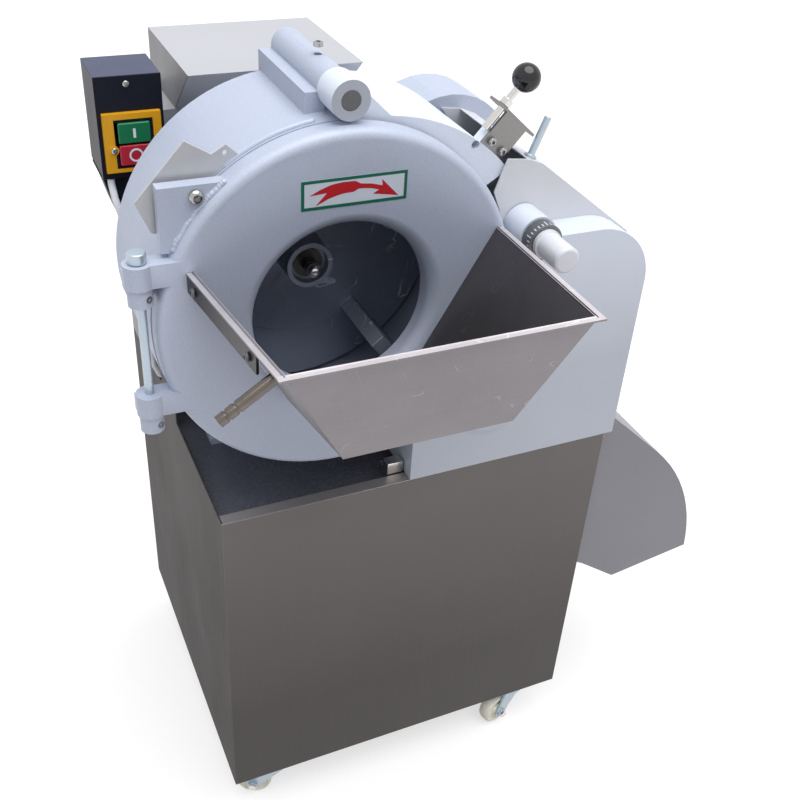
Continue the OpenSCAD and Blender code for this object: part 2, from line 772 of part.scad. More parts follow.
module main_shaft() {
  color("silver") in_frame() {
    ycyl([cx, hub_seat, cz], shaft_r, pulley_y + pulley_w + 6 - hub_seat);
    ycyl([cx, hub_seat - 10, cz], nut_r / 2, 12);
  }
}

module grooved_pulley(x, z, r, bore) {
  difference() {
    union() {
      ycyl([x, pulley_y, z], r + 6, 5);
      ycyl([x, pulley_y, z], r, pulley_w);
      ycyl([x, pulley_y + pulley_w - 5, z], r + 6, 5);
    }
    ycyl([x, pulley_y - 1, z], bore, pulley_w + 2);
  }
}

module large_pulley() {
  color("dimgray") in_frame() grooved_pulley(cx, cz, pulley_r, shaft_r);
}

module motor_pulley() {
  color("dimgray") in_frame() {
    grooved_pulley(motor_x, motor_z, motor_pulley_r, motor_shaft_r - 1);
    ycyl([motor_x, motor_y + motor_l - 30, motor_z], motor_shaft_r,
      pulley_y + pulley_w + 34 - motor_y - motor_l);
  }
}

module cross_cutter() {
  color("gainsboro") in_frame() {
    ycyl([cross_x, cut_y - 8, cross_z], spindle_r, back_y + 50 - cut_y + 8);
    ycyl([cross_x, cut_y, cross_z], 24, cut_l);
    for (i = [0:cross_blades - 1]) translate([cross_x, cut_y, cross_z]) rotate([0, i * 360 / cross_blades, 0])
      slab(0, cut_l) polygon([[20, -3], [cross_r - 8, -3], [cross_r, 0], [cross_r - 10, 1], [20, 3]]);
  }
}

module strip_cutter() {
  pitch = (cut_l - 2) / (strip_discs - 1);
  color("gainsboro") in_frame() {
    ycyl([strip_x, cut_y - 8, strip_z], spindle_r, back_y + 50 - cut_y + 8);
    ycyl([strip_x, cut_y, strip_z], 18, cut_l);
    for (i = [0:strip_discs - 1]) ycyl([strip_x, cut_y + i * pitch, strip_z], strip_r, 2);
  }
}

// outer sheet of the chute: a straight fall that bends down to the outlet
function chute_edge(a) = [cabinet_w + chute_reach, cabinet_h - chute_drop]
  + chute_bend * [sin(chute_end) - sin(a), cos(a) - cos(chute_end)];

module discharge_chute() {
  steps = 12;
  edge = concat([[chute_x, cabinet_h + chute_up]],
    [for (i = [1:steps]) chute_edge(-43 + (chute_end + 43) * (i - 1) / (steps - 1))]);
  inner = concat([for (i = [steps:-1:1]) let (d = unit(edge[min(i + 1, steps)] - edge[i - 1]))
    edge[i] + chute_t * [d[1], -d[0]]], [[chute_x, cabinet_h + chute_up - 1.4 * chute_t]]);
  face = concat(edge, [[cabinet_w + 81, cabinet_h - chute_drop - 20],
    [cabinet_w + 22, cabinet_h - chute_drop + 24], [cabinet_w, cabinet_h - chute_drop + 37],
    [cabinet_w, cabinet_h - 1], [chute_x, cabinet_h - 1]]);
  color("silver") in_frame() {
    slab(chute_y, chute_t) polygon(face);
    slab(chute_y + chute_w + chute_t, chute_t) polygon(face);
    slab(chute_y, chute_w + 2 * chute_t) polygon(concat(edge, inner));
    slab(chute_y + chute_t + 21, chute_w - 42) polygon([[drop_x, tread_z - sheet_t - 2],
      [cabinet_w + 14, cabinet_h - chute_drop + 112], [cabinet_w + 14, cabinet_h - chute_drop + 110],
      [drop_x, tread_z - sheet_t - 4]]);
    translate([cabinet_w, chute_y, cabinet_h - chute_drop + 116]) cube([14, chute_w + 2 * chute_t, 3]);
    for (y = [chute_y, chute_y + chute_w + chute_t - 14])
      translate([cabinet_w, y, cabinet_h - chute_drop + 40]) cube([chute_t, 16, chute_drop - 46]);
  }
}

module switch_box() {
  color("black") in_frame() difference() {
    union() {
      translate([switch_x, switch_y, switch_z]) cube([switch_w, switch_d, switch_h]);
      slab(switch_y + 12, switch_d - 24) polygon([[switch_x, switch_z + 1], [switch_right, switch_z + 1],
        [switch_right - 18, switch_z - 44], [switch_x + 12, switch_z - 44]]);
      // collar round the buttons, in the bezel's window
      translate([win_x, switch_y - bezel_t + 0.5, win_z]) cube([win_w, bezel_t, win_h]);
    }
    for (z = [start_z, stop_z]) translate([button_x - face_gap, switch_y - bezel_t - 1, z - face_gap])
      cube([button_w + 2 * face_gap, button_l + bezel_t + 6, button_h + 2 * face_gap]);
    zcyl([cable_path[0][0], cable_path[0][1], switch_z - 1], cable_r + 0.7, 8);
  }
}

module switch_bezel() {
  color("gold") in_frame() {
    difference() {
      translate([bezel_x, switch_y - bezel_t, bezel_z]) cube([bezel_w, bezel_t, bezel_h]);
      translate([win_x, switch_y - bezel_t - 1, win_z]) cube([win_w, bezel_t + 2, win_h]);
    }
    for (p = lugs) ycyl([p[0], switch_y - bezel_t - 0.8, p[1]], 5.2, 1.2, 40);
  }
}

module button(z, tint) {
  color(tint) in_frame()
    translate([button_x, switch_y - bezel_t - button_out, z]) cube([button_w, button_l, button_h]);
}

module start_button() {
  button(start_z, "green");
}

module stop_button() {
  button(stop_z, "red");
}

module switch_screws() {
  color("white") in_frame() {
    for (p = lugs) ycyl([p[0], switch_y - bezel_t - 2.6, p[1]], 3.4, 1.8, 32);
    ycyl([switch_x + switch_w / 2 - 2, switch_y - 2, switch_z + switch_h - 9], 4, 2, 32);
  }
}

module switch_cable() {
  color("white") in_frame() swept(cable_path, cable_r);
}

module hinge_rod() {
  color("gainsboro") in_frame() {
    zcyl([hinge_x, hinge_y, lug_low_z - knuckle_h - 4], rod_r, lug_pitch + knuckle_h + lug_h + face_gap + 5);
    zcyl([hinge_x, hinge_y, lug_top_z + lug_h + face_gap], 9, 11);
  }
}

module interlock_plate() {
  color("gainsboro") in_frame() difference() {
    slab(drum_y + 3, 3) translate([cx, cz]) polygon(drum_r * [[-0.768, 0.964], [-1.021, 0.686],
      [-0.954, 0.526], [-0.722, 0.454], [-0.515, 0.876], [-0.536, 0.897], [-0.572, 0.928], [-0.644, 0.887]]);
    ycyl([cx, drum_y, cz], drum_r + 0.05, 10, 128);
    ycyl([cx - 0.577 * drum_r, drum_y, cz + 0.887 * drum_r], 2.5, 10, 32);
  }
}

module stop_block() {
  color("white") in_frame() {
    translate([cx + cover_left - 22, rim_w + 1, tread_z]) cube([20, 24, 14]);
    translate([cx + cover_left - 22, rim_w + 1, tread_z + 14]) cube([20, 14, 12]);
  }
}

module mains_gland() {
  color("black") in_frame() difference() {
    union() {
      ycyl([gland_x, cabinet_d, gland_z], gland_bore_r + 7, 8, 6);
      ycyl([gland_x, cabinet_d, gland_z], gland_bore_r + 5, gland_out);
      ycyl([gland_x, cabinet_d - sheet_t - 6, gland_z], gland_bore_r + 3, 10);
    }
    ycyl([gland_x, cabinet_d - sheet_t - 7, gland_z], gland_bore_r, gland_out + 40);
  }
}

module caster_plates() {
  color("lightsteelblue") in_frame() for (s = caster_spots) difference() {
    translate([s[0] - caster_plate_w / 2, s[1] - caster_plate_w / 2, -plate_t])
      cube([caster_plate_w, caster_plate_w, plate_t]);
    zcyl([s[0], s[1], -plate_t - 1], kingpin_r + run_fit, plate_t + 2);
  }
}

module on_caster(i) {
  translate([caster_spots[i][0], caster_spots[i][1], 0]) rotate([0, 0, caster_spots[i][2]]) children();
}

module fork(i) {
  color("lightsteelblue") in_frame() on_caster(i) {
    zcyl([0, 0, -plate_t - face_gap - 9], kingpin_r, 9 + face_gap + plate_t + pan_t - 1);
    zcyl([0, 0, -plate_t - face_gap - 9], 21, 9);
    for (s = [-1, 1]) translate([s * (wheel_w / 2 + 2.5), 0, 0]) hull() {
      translate([-1.5, -18, -plate_t - face_gap - 9]) cube([3, 34, 3]);
      xcyl([-1.5, -caster_trail, axle_z], 9, 3, 32);
    }
    translate([-wheel_w / 2 - 4, -18, -plate_t - face_gap - 9]) cube([wheel_w + 8, 34, 3]);
    xcyl([-wheel_w / 2 - 7, -caster_trail, axle_z], axle_r, wheel_w + 14);
    xcyl([-wheel_w / 2 - 8, -caster_trail, axle_z], axle_r + 3, 4, 6);
    xcyl([wheel_w / 2 + 4, -caster_trail, axle_z], axle_r + 3, 4, 6);
  }
}

module wheel(i) {
  half = wheel_w / 2;
  color("ivory") in_frame() on_caster(i) translate([0, -caster_trail, axle_z]) rotate([0, 90, 0])
    rotate_extrude($fn = 64) polygon([[axle_r + run_fit, -half - 0.6], [axle_r + 6, -half - 0.6],
      [axle_r + 6, -half + 3], [wheel_r - 6, -half + 3], [wheel_r - 4, -half], [wheel_r - 1.5, -half + 2],
      [wheel_r, -half + 6], [wheel_r, half - 6], [wheel_r - 1.5, half - 2], [wheel_r - 4, half],
      [wheel_r - 6, half - 3], [axle_r + 6, half - 3], [axle_r + 6, half + 0.6],
      [axle_r + run_fit, half + 0.6]]);
}

module fork_front_left() { fork(0); }
module fork_front_right() { fork(1); }
module fork_back_left() { fork(2); }
module fork_back_right() { fork(3); }
module wheel_front_left() { wheel(0); }
module wheel_front_right() { wheel(1); }
module wheel_back_left() { wheel(2); }
module wheel_back_right() { wheel(3); }

module door_profile() {
  difference() {
    translate([feed_r, 0]) square([door_r - feed_r, door_t]);
    translate([door_r - door_round, 0]) difference() {
      translate([0, -1]) square([door_round + 1, door_round + 1]);
      translate([0, door_round]) circle(r = door_round, $fn = 48);
    }
    translate([feed_r, 0]) difference() {
      translate([-1, -1]) square([feed_round + 1, feed_round + 1]);
      translate([feed_round, feed_round]) circle(r = feed_round, $fn = 48);
    }
    translate([feed_r + 18, door_web]) square([door_r - feed_r - 34, door_t]);
  }
}

module front_door() {
  color("lightgray") in_frame() difference() {
    union() {
      translate([cx, door_y, cz]) rotate([-90, 0, 0]) rotate_extrude($fn = 128) door_profile();
      for (z = [lug_top_z, lug_low_z]) {
        zcyl([hinge_x, hinge_y, z], lug_r, lug_h);
        translate([hinge_x, door_y, z]) cube([44, lug_r + 8, lug_h]);
      }
      difference() {
        translate([cx - 181, door_y + 10, cz + 89]) cube([85, 14, 64]);
        ycyl([cx, door_y, cz], door_r - 6, door_t + 10, 128);
      }
    }
    zcyl([hinge_x, hinge_y, lug_low_z - 1], rod_r + run_fit, lug_pitch + lug_h + 2);
    ycyl([bolt_x, door_y, bolt_z], 5, door_t);
  }
}

module door_bolt() {
  color("silver") in_frame() {
    ycyl([bolt_x, door_y + 8.5, bolt_z], 8.5, 1.5);
    ycyl([bolt_x, door_y + 4, bolt_z], 7, 5);
    ycyl([bolt_x, door_y + 8.5, bolt_z], 5, 14);
  }
}

module hopper() {
  out = [-hopper_rim, 0, 0];
  in = [1.5 * hopper_t, 0, 0];
  lip = [0, hopper_rim, 0];
  color("silver") in_frame() {
    panel([hop_a, hop_d, hop_c, hop_b], hopper_t);
    panel([mirrored(hop_b), mirrored(hop_c), mirrored(hop_d), mirrored(hop_a)], hopper_t);
    panel([hop_b, hop_c, mirrored(hop_c), mirrored(hop_b)], hopper_t);
    panel([hop_c, hop_d, mirrored(hop_d), mirrored(hop_c)], hopper_t);
    panel([hop_b + out, hop_b + in, hop_a + in, hop_a + out], hopper_t);
    panel([mirrored(hop_a + out), mirrored(hop_a + in), mirrored(hop_b + in),
      mirrored(hop_b + out)], hopper_t);
    panel([hop_b + out - lip, mirrored(hop_b + out) - lip, mirrored(hop_b + out) + lip / 2,
      hop_b + out + lip / 2], hopper_t);
  }
}

function bar_at(s, dz) = hop_a + s * (hop_b - hop_a) + [-hopper_rim, 0, -1.03 * hopper_t - dz];

module hopper_bar() {
  color("gray") in_frame()
    panel([bar_at(0.005, 0), bar_at(0.005, bar_h), bar_at(0.8, bar_h), bar_at(0.8, 0)], 2.5);
}

module hopper_screws() {
  color("white") in_frame() for (s = [0.1, 0.72])
    translate(bar_at(s, bar_h / 2)) rotate([0, -90, bar_turn]) {
    cylinder(r = 5, h = 1.6, $fn = 32);
    translate([0, 0, 1.6]) cylinder(r1 = 5, r2 = 2.6, h = 2, $fn = 32);
  }
}

module hopper_pin() {
  root = hop_a + 0.86 * (hop_b - hop_a) + 0.16 * (hop_c - hop_b);
  color("gainsboro") in_frame()
    translate(root + hop_n * 0.05) rotate([0, acos(hop_n[2]), atan2(hop_n[1], hop_n[0])]) {
    cylinder(r = pin_r - 0.8, h = pin_l - 1, $fn = 40);
    cylinder(r = pin_r, h = pin_l - 20, $fn = 40);
    for (i = [0:1]) translate([0, 0, pin_l - 18 + i * 10]) cylinder(r = pin_r, h = 8, $fn = 40);
  }
}

module slice_gate() {
  color("lightgray") in_frame() difference() {
    union() {
      intersection() {
        ycyl([gate_cx, gate_y, gate_cz], gate_r, gate_l, 128);
        slab(gate_y, gate_l) translate([cx, cz]) wedge(gate_end, 89.2, 2 * gate_r);
      }
      ycyl([pivot_x, boss_y, pivot_z], boss_r, boss_l);
      slab(gate_y, boss_y + boss_l - gate_y) polygon([[pivot_x - 0.36 * boss_r, pivot_z - 0.6 * boss_r],
        [pivot_x + 0.2 * boss_r, cz + drum_r - 12], [pivot_x + 3.8 * boss_r, cz + drum_r - 26],
        [pivot_x + 0.97 * boss_r, pivot_z + 0.2 * boss_r]]);
      on_bracket() translate([-22, bracket_t, -bracket_w / 2]) cube([40, 14, bracket_w]);
    }
    ycyl([cx, gate_y - 30, cz], gate_in, gate_l + 60, 128);
    ycyl([pivot_x, boss_y - 1, pivot_z], pivot_r + run_fit, boss_l + 2);
    on_bracket() for (v = [-9, 9]) ycyl([8, 0, v], 3, 15);
    ycyl([cx + 150, gate_y - 1, cz + 151], 4.5, 12, 32);
  }
}

module lock_bracket() {
  color("gainsboro") in_frame() difference() {
    on_bracket() {
      translate([0, 0, -bracket_w / 2]) cube([bracket_l, bracket_t, bracket_w]);
      translate([bracket_l - 3, 0, -bracket_w / 2 - 2 * plunger_r - 4])
        cube([3, 24, bracket_w + 2 * plunger_r + 16]);
    }
    on_bracket() {
      for (v = [-9, 9]) ycyl([8, -1, v], 3, 10);
      xcyl([bracket_l - 5, plunger_y - bracket_y, -plunger_v], plunger_r + run_fit, 10);
    }
    ycyl([gate_cx, gate_y, gate_cz], gate_r + 0.05, gate_l, 128);
  }
}

module bracket_screws() {
  color("white") in_frame() on_bracket() for (v = [-9, 9]) {
    ycyl([8, -5, v], 5, 5, 32);
    ycyl([8, -1, v], 3, 15);
  }
}

module lock_plunger() {
  color("gainsboro") in_frame() on_bracket() {
    xcyl([plunger_u, plunger_y - bracket_y, -plunger_v], plunger_r, plunger_l);
    xcyl([bracket_l + face_gap, plunger_y - bracket_y, -plunger_v], plunger_r + 3, 7, 6);
  }
}

module plunger_ball() {
  color("black") in_frame() on_bracket() difference() {
    translate([plunger_u + plunger_l + ball_r - 8, plunger_y - bracket_y, -plunger_v])
      sphere(r = ball_r, $fn = 64);
    xcyl([0, plunger_y - bracket_y, -plunger_v], plunger_r, plunger_u + plunger_l);
  }
}

module dial_ring() {
  color("darkslategray") in_frame() difference() {
    ycyl([dial_x, -face_gap - ring_l, dial_z], ring_r, ring_l);
    ycyl([dial_x, -face_gap - ring_l - 1, dial_z], dial_spindle_r, ring_l + 2);
  }
}

module dial_cap() {
  color("gainsboro") in_frame() {
    ycyl([dial_x, -face_gap - ring_l - 6, dial_z], cap_r, 6);
    ycyl([dial_x, -face_gap - ring_l - cap_l + 2, dial_z], cap_r - 1.5, cap_l - 2);
    translate([dial_x, -face_gap - ring_l - cap_l + 2, dial_z]) rotate([90, 0, 0])
      cylinder(r1 = cap_r - 1.5, r2 = cap_r - 4, h = 2, $fn = 64);
    ycyl([dial_x, -face_gap - ring_l - 1, dial_z], dial_spindle_r, face_gap + ring_l + 29);
  }
}

base_pan();
cabinet_shell();
front_panel();
top_plate();
panel_screws();
drum_case();
pivot_pin();
pivot_screw();
gear_case();
belt_guard();
upper_cover();
motor();
drive_belt();
cutter_housing();
front_cover();
cutter_hood();
hood_stud();
slicing_knife();
discharge_chute();
switch_box();
switch_bezel();
switch_screws();
switch_cable();
hinge_rod();
interlock_plate();
stop_block();
mains_gland();
caster_plates();
front_door();
door_bolt();
hopper();
hopper_bar();
hopper_screws();
hopper_pin();
slice_gate();
lock_bracket();
bracket_screws();
lock_plunger();
plunger_ball();
dial_ring();
dial_cap();
main_shaft();
impeller();
impeller_nut();
large_pulley();
motor_pulley();
cross_cutter();
strip_cutter();
start_button();
stop_button();
fork_front_left();
fork_front_right();
fork_back_left();
fork_back_right();
wheel_front_left();
wheel_front_right();
wheel_back_left();
wheel_back_right();
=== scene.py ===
"""Looks of the vegetable dicer: finishes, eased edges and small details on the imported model."""
import json
from math import cos, pi, radians, sin

import bmesh
import bpy
import numpy as np
from mathutils import Matrix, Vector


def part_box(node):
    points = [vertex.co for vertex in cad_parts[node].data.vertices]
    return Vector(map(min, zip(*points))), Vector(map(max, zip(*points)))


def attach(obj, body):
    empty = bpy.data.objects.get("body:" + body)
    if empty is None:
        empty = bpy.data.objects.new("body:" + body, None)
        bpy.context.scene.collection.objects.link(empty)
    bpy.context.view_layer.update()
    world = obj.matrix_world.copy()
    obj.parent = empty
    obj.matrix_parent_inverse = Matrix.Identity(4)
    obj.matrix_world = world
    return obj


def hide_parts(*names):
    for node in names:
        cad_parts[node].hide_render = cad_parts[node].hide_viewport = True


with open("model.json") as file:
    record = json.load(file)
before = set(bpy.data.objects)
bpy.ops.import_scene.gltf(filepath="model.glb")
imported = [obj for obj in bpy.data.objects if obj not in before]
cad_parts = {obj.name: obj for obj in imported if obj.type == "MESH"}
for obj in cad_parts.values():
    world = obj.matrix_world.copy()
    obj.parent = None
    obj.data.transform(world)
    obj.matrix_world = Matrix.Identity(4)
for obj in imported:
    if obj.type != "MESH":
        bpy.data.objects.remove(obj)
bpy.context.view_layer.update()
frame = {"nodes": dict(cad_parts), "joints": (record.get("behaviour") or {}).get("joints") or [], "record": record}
nodes = frame["nodes"]
body_of = {n: b for b, ns in frame["record"]["behaviour"]["bodies"].items() for n in ns}
slot_of = {s["node"]: s["material_slot"] for s in frame["record"]["subparts"]}

# Places are written as in the source: millimetres from the cabinet's front left bottom corner.
CORNER = np.array(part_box("front_panel")[0])
DRUM_X, DRUM_Z = 144.0, 708.0
DOOR_Y, DOOR_R = 10.0, 193.0
EAR_Y = 20.0
HINGE_X, HINGE_Y = -60.0, 20.0
KNUCKLE_R = 12.0
DIAL_X, DIAL_Z, DIAL_R = 357.0, 767.0, 20.0
DIAL_FRONT_Y = -16.4
BUTTON_X, BUTTON_Y = -7.8, 257.0
START_Z, STOP_Z = 823.3, 798.3
LABEL = (95.0, 204.0, 826.0, 856.0)
DIAL_BORE_R = 26.0
COVER_BOSS_X, COVER_BOSS_Z, COVER_BOSS_R = 326.0, 555.0, 40.0
GATE_BOSS_BACK_Y = 30.0
HOPPER_MIDDLE = np.array([150.0, -80.0, 770.0])
COLLAR_Z = (757.5, 613.5)
NUT_DOME_R = 8.5
NEAR_AXLE = 30.0
WELD_ARC, LIP_ARC = (127.0, 152.5), (97.0, 126.0)
LIP_Y = 42.0

# The photograph's camera: place in cabinet millimetres, turn in degrees, focal length in pixels.
CAMERA_PLACE = (-210.0, -846.7, 1247.3)
CAMERA_AZIMUTH, CAMERA_ELEVATION, CAMERA_ROLL = -26.255, 34.856, 3.937
FOCAL_PIXELS, PHOTO_PIXELS = 1040.82, 800.0
SENSOR_MM = 36.0


def at(points):
    """Cabinet millimetres to metres in the shared frame."""
    return CORNER + 0.001 * np.asarray(points, float)


# Camera first: its place and turn were solved from the photograph.
def photo_camera():
    """Camera at its solved place, with its back along the azimuth and elevation, rolled about that line."""
    az, el, roll = radians(CAMERA_AZIMUTH), radians(CAMERA_ELEVATION), radians(CAMERA_ROLL)
    back = np.array([sin(az) * cos(el), -cos(az) * cos(el), sin(el)])
    right = np.cross(-back, (0, 0, 1))
    right /= np.linalg.norm(right)
    up = np.cross(right, -back)
    right, up = cos(roll) * right + sin(roll) * up, cos(roll) * up - sin(roll) * right
    data = bpy.data.cameras.new("photo_camera")
    data.sensor_width = SENSOR_MM
    data.sensor_fit = "HORIZONTAL"
    data.lens = SENSOR_MM * FOCAL_PIXELS / PHOTO_PIXELS
    obj = bpy.data.objects.new("photo_camera", data)
    bpy.context.scene.collection.objects.link(obj)
    place = at(CAMERA_PLACE)
    obj.matrix_world = Matrix([[*row, p] for row, p in zip(np.c_[right, up, back], place)] + [[0, 0, 0, 1]])
    bpy.context.scene.camera = obj


photo_camera()


# Shader groups
def group(name, inputs, outputs):
    """An empty shader node group with the named sockets: (name, socket type, default)."""
    tree = bpy.data.node_groups.new(name, "ShaderNodeTree")
    for label, kind, default in inputs:
        socket = tree.interface.new_socket(label, in_out="INPUT", socket_type=kind)
        socket.default_value = default
    for label, kind in outputs:
        tree.interface.new_socket(label, in_out="OUTPUT", socket_type=kind)
    return tree, tree.nodes.new("NodeGroupInput"), tree.nodes.new("NodeGroupOutput")


def node(tree, kind, links=(), **values):
    """A node with its properties or sockets set, and links from other sockets: (input, from socket)."""
    n = tree.nodes.new("ShaderNode" + kind)
    for key, value in values.items():
        if hasattr(n, key):
            setattr(n, key, value)
        else:
            n.inputs[key.replace("_", " ")].default_value = value
    for name, source in links:
        tree.links.new(source, n.inputs[name])
    return n


def math(tree, operation, a, b):
    """A Math node on two values, each a socket or a number."""
    n = node(tree, "Math", operation=operation)
    for i, value in enumerate((a, b)):
        if isinstance(value, (int, float)):
            n.inputs[i].default_value = value
        else:
            tree.links.new(value, n.inputs[i])
    return n.outputs[0]


def tone_group():
    """Cloudy tone: a colour times 1 + amount x wide noise + speckle x fine noise, both noises about zero."""
    tree, gi, go = group("cloudy_tone",
                         [("Color", "NodeSocketColor", (0.5, 0.5, 0.5, 1)), ("Scale", "NodeSocketFloat", 6.0),
                          ("Amount", "NodeSocketFloat", 0.1), ("Speckle", "NodeSocketFloat", 0.05)],
                         [("Color", "NodeSocketColor")])
    place = node(tree, "TexCoord").outputs["Object"]
    wide = node(tree, "TexNoise", [("Vector", place), ("Scale", gi.outputs["Scale"])],
                Detail=5.0, Roughness=0.6)
    fine = node(tree, "TexNoise", [("Vector", place)], Scale=520.0, Detail=3.0, Roughness=0.7)
    cloud = math(tree, "MULTIPLY", math(tree, "SUBTRACT", wide.outputs["Fac"], 0.5), gi.outputs["Amount"])
    grit = math(tree, "MULTIPLY", math(tree, "SUBTRACT", fine.outputs["Fac"], 0.5), gi.outputs["Speckle"])
    gain = math(tree, "ADD", math(tree, "MULTIPLY", math(tree, "ADD", cloud, grit), 3.0), 1.0)
    tinted = node(tree, "VectorMath", [(0, gi.outputs["Color"]), ("Scale", gain)], operation="SCALE")
    tree.links.new(tinted.outputs["Vector"], go.inputs["Color"])
    return tree


def grain_group():
    """Streaks: noise on coordinates stretched per axis, so that they run along the smallest of the three."""
    tree, gi, go = group("streak_grain", [("Stretch", "NodeSocketVector", (400, 400, 8)),
                                          ("Low", "NodeSocketFloat", 0.3), ("High", "NodeSocketFloat", 0.5)],
                         [("Roughness", "NodeSocketFloat"), ("Height", "NodeSocketFloat")])
    place = node(tree, "TexCoord").outputs["Object"]
    drawn = node(tree, "VectorMath", [(0, place), (1, gi.outputs["Stretch"])], operation="MULTIPLY")
    streak = node(tree, "TexNoise", [("Vector", drawn.outputs["Vector"])],
                  Scale=1.0, Detail=4.0, Roughness=0.65)
    cloud = node(tree, "TexNoise", [("Vector", place)], Scale=7.0, Detail=3.0)
    blend = math(tree, "ADD", streak.outputs["Fac"], cloud.outputs["Fac"])
    span = node(tree, "MapRange",
                [("Value", blend), ("To Min", gi.outputs["Low"]), ("To Max", gi.outputs["High"])])
    span.inputs["From Min"].default_value = 0.6
    span.inputs["From Max"].default_value = 1.4
    tree.links.new(span.outputs["Result"], go.inputs["Roughness"])
    tree.links.new(streak.outputs["Fac"], go.inputs["Height"])
    return tree


def smear_group():
    """Wet smears and scratches: thin lines where a noise on bent coordinates crosses its middle value."""
    tree, gi, go = group("smears", [("Color", "NodeSocketColor", (0.2, 0.2, 0.2, 1)),
                                    ("Mark", "NodeSocketColor", (0.5, 0.5, 0.5, 1)),
                                    ("Scale", "NodeSocketFloat", 20.0), ("Width", "NodeSocketFloat", 0.02)],
                         [("Color", "NodeSocketColor")])
    place = node(tree, "TexCoord").outputs["Object"]
    bend = node(tree, "TexNoise", [("Vector", place), ("Scale", gi.outputs["Scale"])],
                Detail=3.0, Distortion=0.6)
    away = math(tree, "ABSOLUTE", math(tree, "SUBTRACT", bend.outputs["Fac"], 0.52), 0.0)
    line = math(tree, "LESS_THAN", away, gi.outputs["Width"])
    patchy = node(tree, "TexNoise", [("Vector", place)], Scale=31.0, Detail=4.0)
    gaps = node(tree, "MapRange", [("Value", patchy.outputs["Fac"])])
    gaps.inputs["From Min"].default_value = 0.47
    gaps.inputs["From Max"].default_value = 0.62
    mask = math(tree, "MULTIPLY", line, gaps.outputs["Result"])
    mixed = node(tree, "Mix", data_type="RGBA")
    tree.links.new(mask, mixed.inputs[0])
    tree.links.new(gi.outputs["Color"], mixed.inputs[6])
    tree.links.new(gi.outputs["Mark"], mixed.inputs[7])
    tree.links.new(mixed.outputs[2], go.inputs["Color"])
    return tree


TONE, GRAIN, SMEAR = tone_group(), grain_group(), smear_group()


def place_group(tree, source, **values):
    """A shader group placed in a material, with its own values."""
    n = tree.nodes.new("ShaderNodeGroup")
    n.node_tree = source
    for key, value in values.items():
        n.inputs[key].default_value = value
    return n


def finish(name, color, metallic, rough, tone, stretch, bump=0.0, marks=None, shaded=False, downward_painted_shade=None,
           gloss=0.5):
    """One finish: a cloudy colour with streaked roughness and the streaks as a fine bump.
    Marks add smears (colour, scale, width); a shaded finish is multiplied by the piece's shade attribute of
    painted light.
    The downward painted shade darkens it towards the bottom: (height of full colour, height of the darkest, share
    of colour there).
    Gloss is the level of plain mirror light, 0.5 for common plastic and paint."""
    material = bpy.data.materials.new(name)
    material.use_nodes = True
    tree = material.node_tree
    shader = tree.nodes["Principled BSDF"]
    shader.inputs["Metallic"].default_value = metallic
    shader.inputs["Specular IOR Level"].default_value = gloss
    tint = place_group(tree, TONE, Color=(*color, 1), Scale=tone[0], Amount=tone[1], Speckle=tone[2])
    out = tint.outputs["Color"]
    if marks:
        smear = place_group(tree, SMEAR, Mark=(*marks[0], 1), Scale=marks[1], Width=marks[2])
        tree.links.new(out, smear.inputs["Color"])
        out = smear.outputs["Color"]
    # Painted light and shade per face, from the piece's shade attribute.
    if shaded:
        shade = node(tree, "Attribute", attribute_name="shade").outputs["Fac"]
        out = node(tree, "VectorMath", [(0, out), ("Scale", shade)], operation="SCALE").outputs["Vector"]
    # Painted shade: the colour darkens towards the bottom.
    if downward_painted_shade:
        place = node(tree, "TexCoord").outputs["Object"]
        height = node(tree, "SeparateXYZ", [("Vector", place)]).outputs["Z"]
        span = node(tree, "MapRange", [("Value", height)], From_Min=at((0, 0, downward_painted_shade[1]))[2],
                    From_Max=at((0, 0, downward_painted_shade[0]))[2], To_Min=downward_painted_shade[2])
        share = span.outputs["Result"]
        out = node(tree, "VectorMath", [(0, out), ("Scale", share)], operation="SCALE").outputs["Vector"]
    tree.links.new(out, shader.inputs["Base Color"])
    streak = place_group(tree, GRAIN, Stretch=stretch, Low=rough[0], High=rough[1])
    tree.links.new(streak.outputs["Roughness"], shader.inputs["Roughness"])
    if bump:
        relief = node(tree, "Bump", [("Height", streak.outputs["Height"])], Strength=bump, Distance=0.0006)
        tree.links.new(relief.outputs["Normal"], shader.inputs["Normal"])
    return material


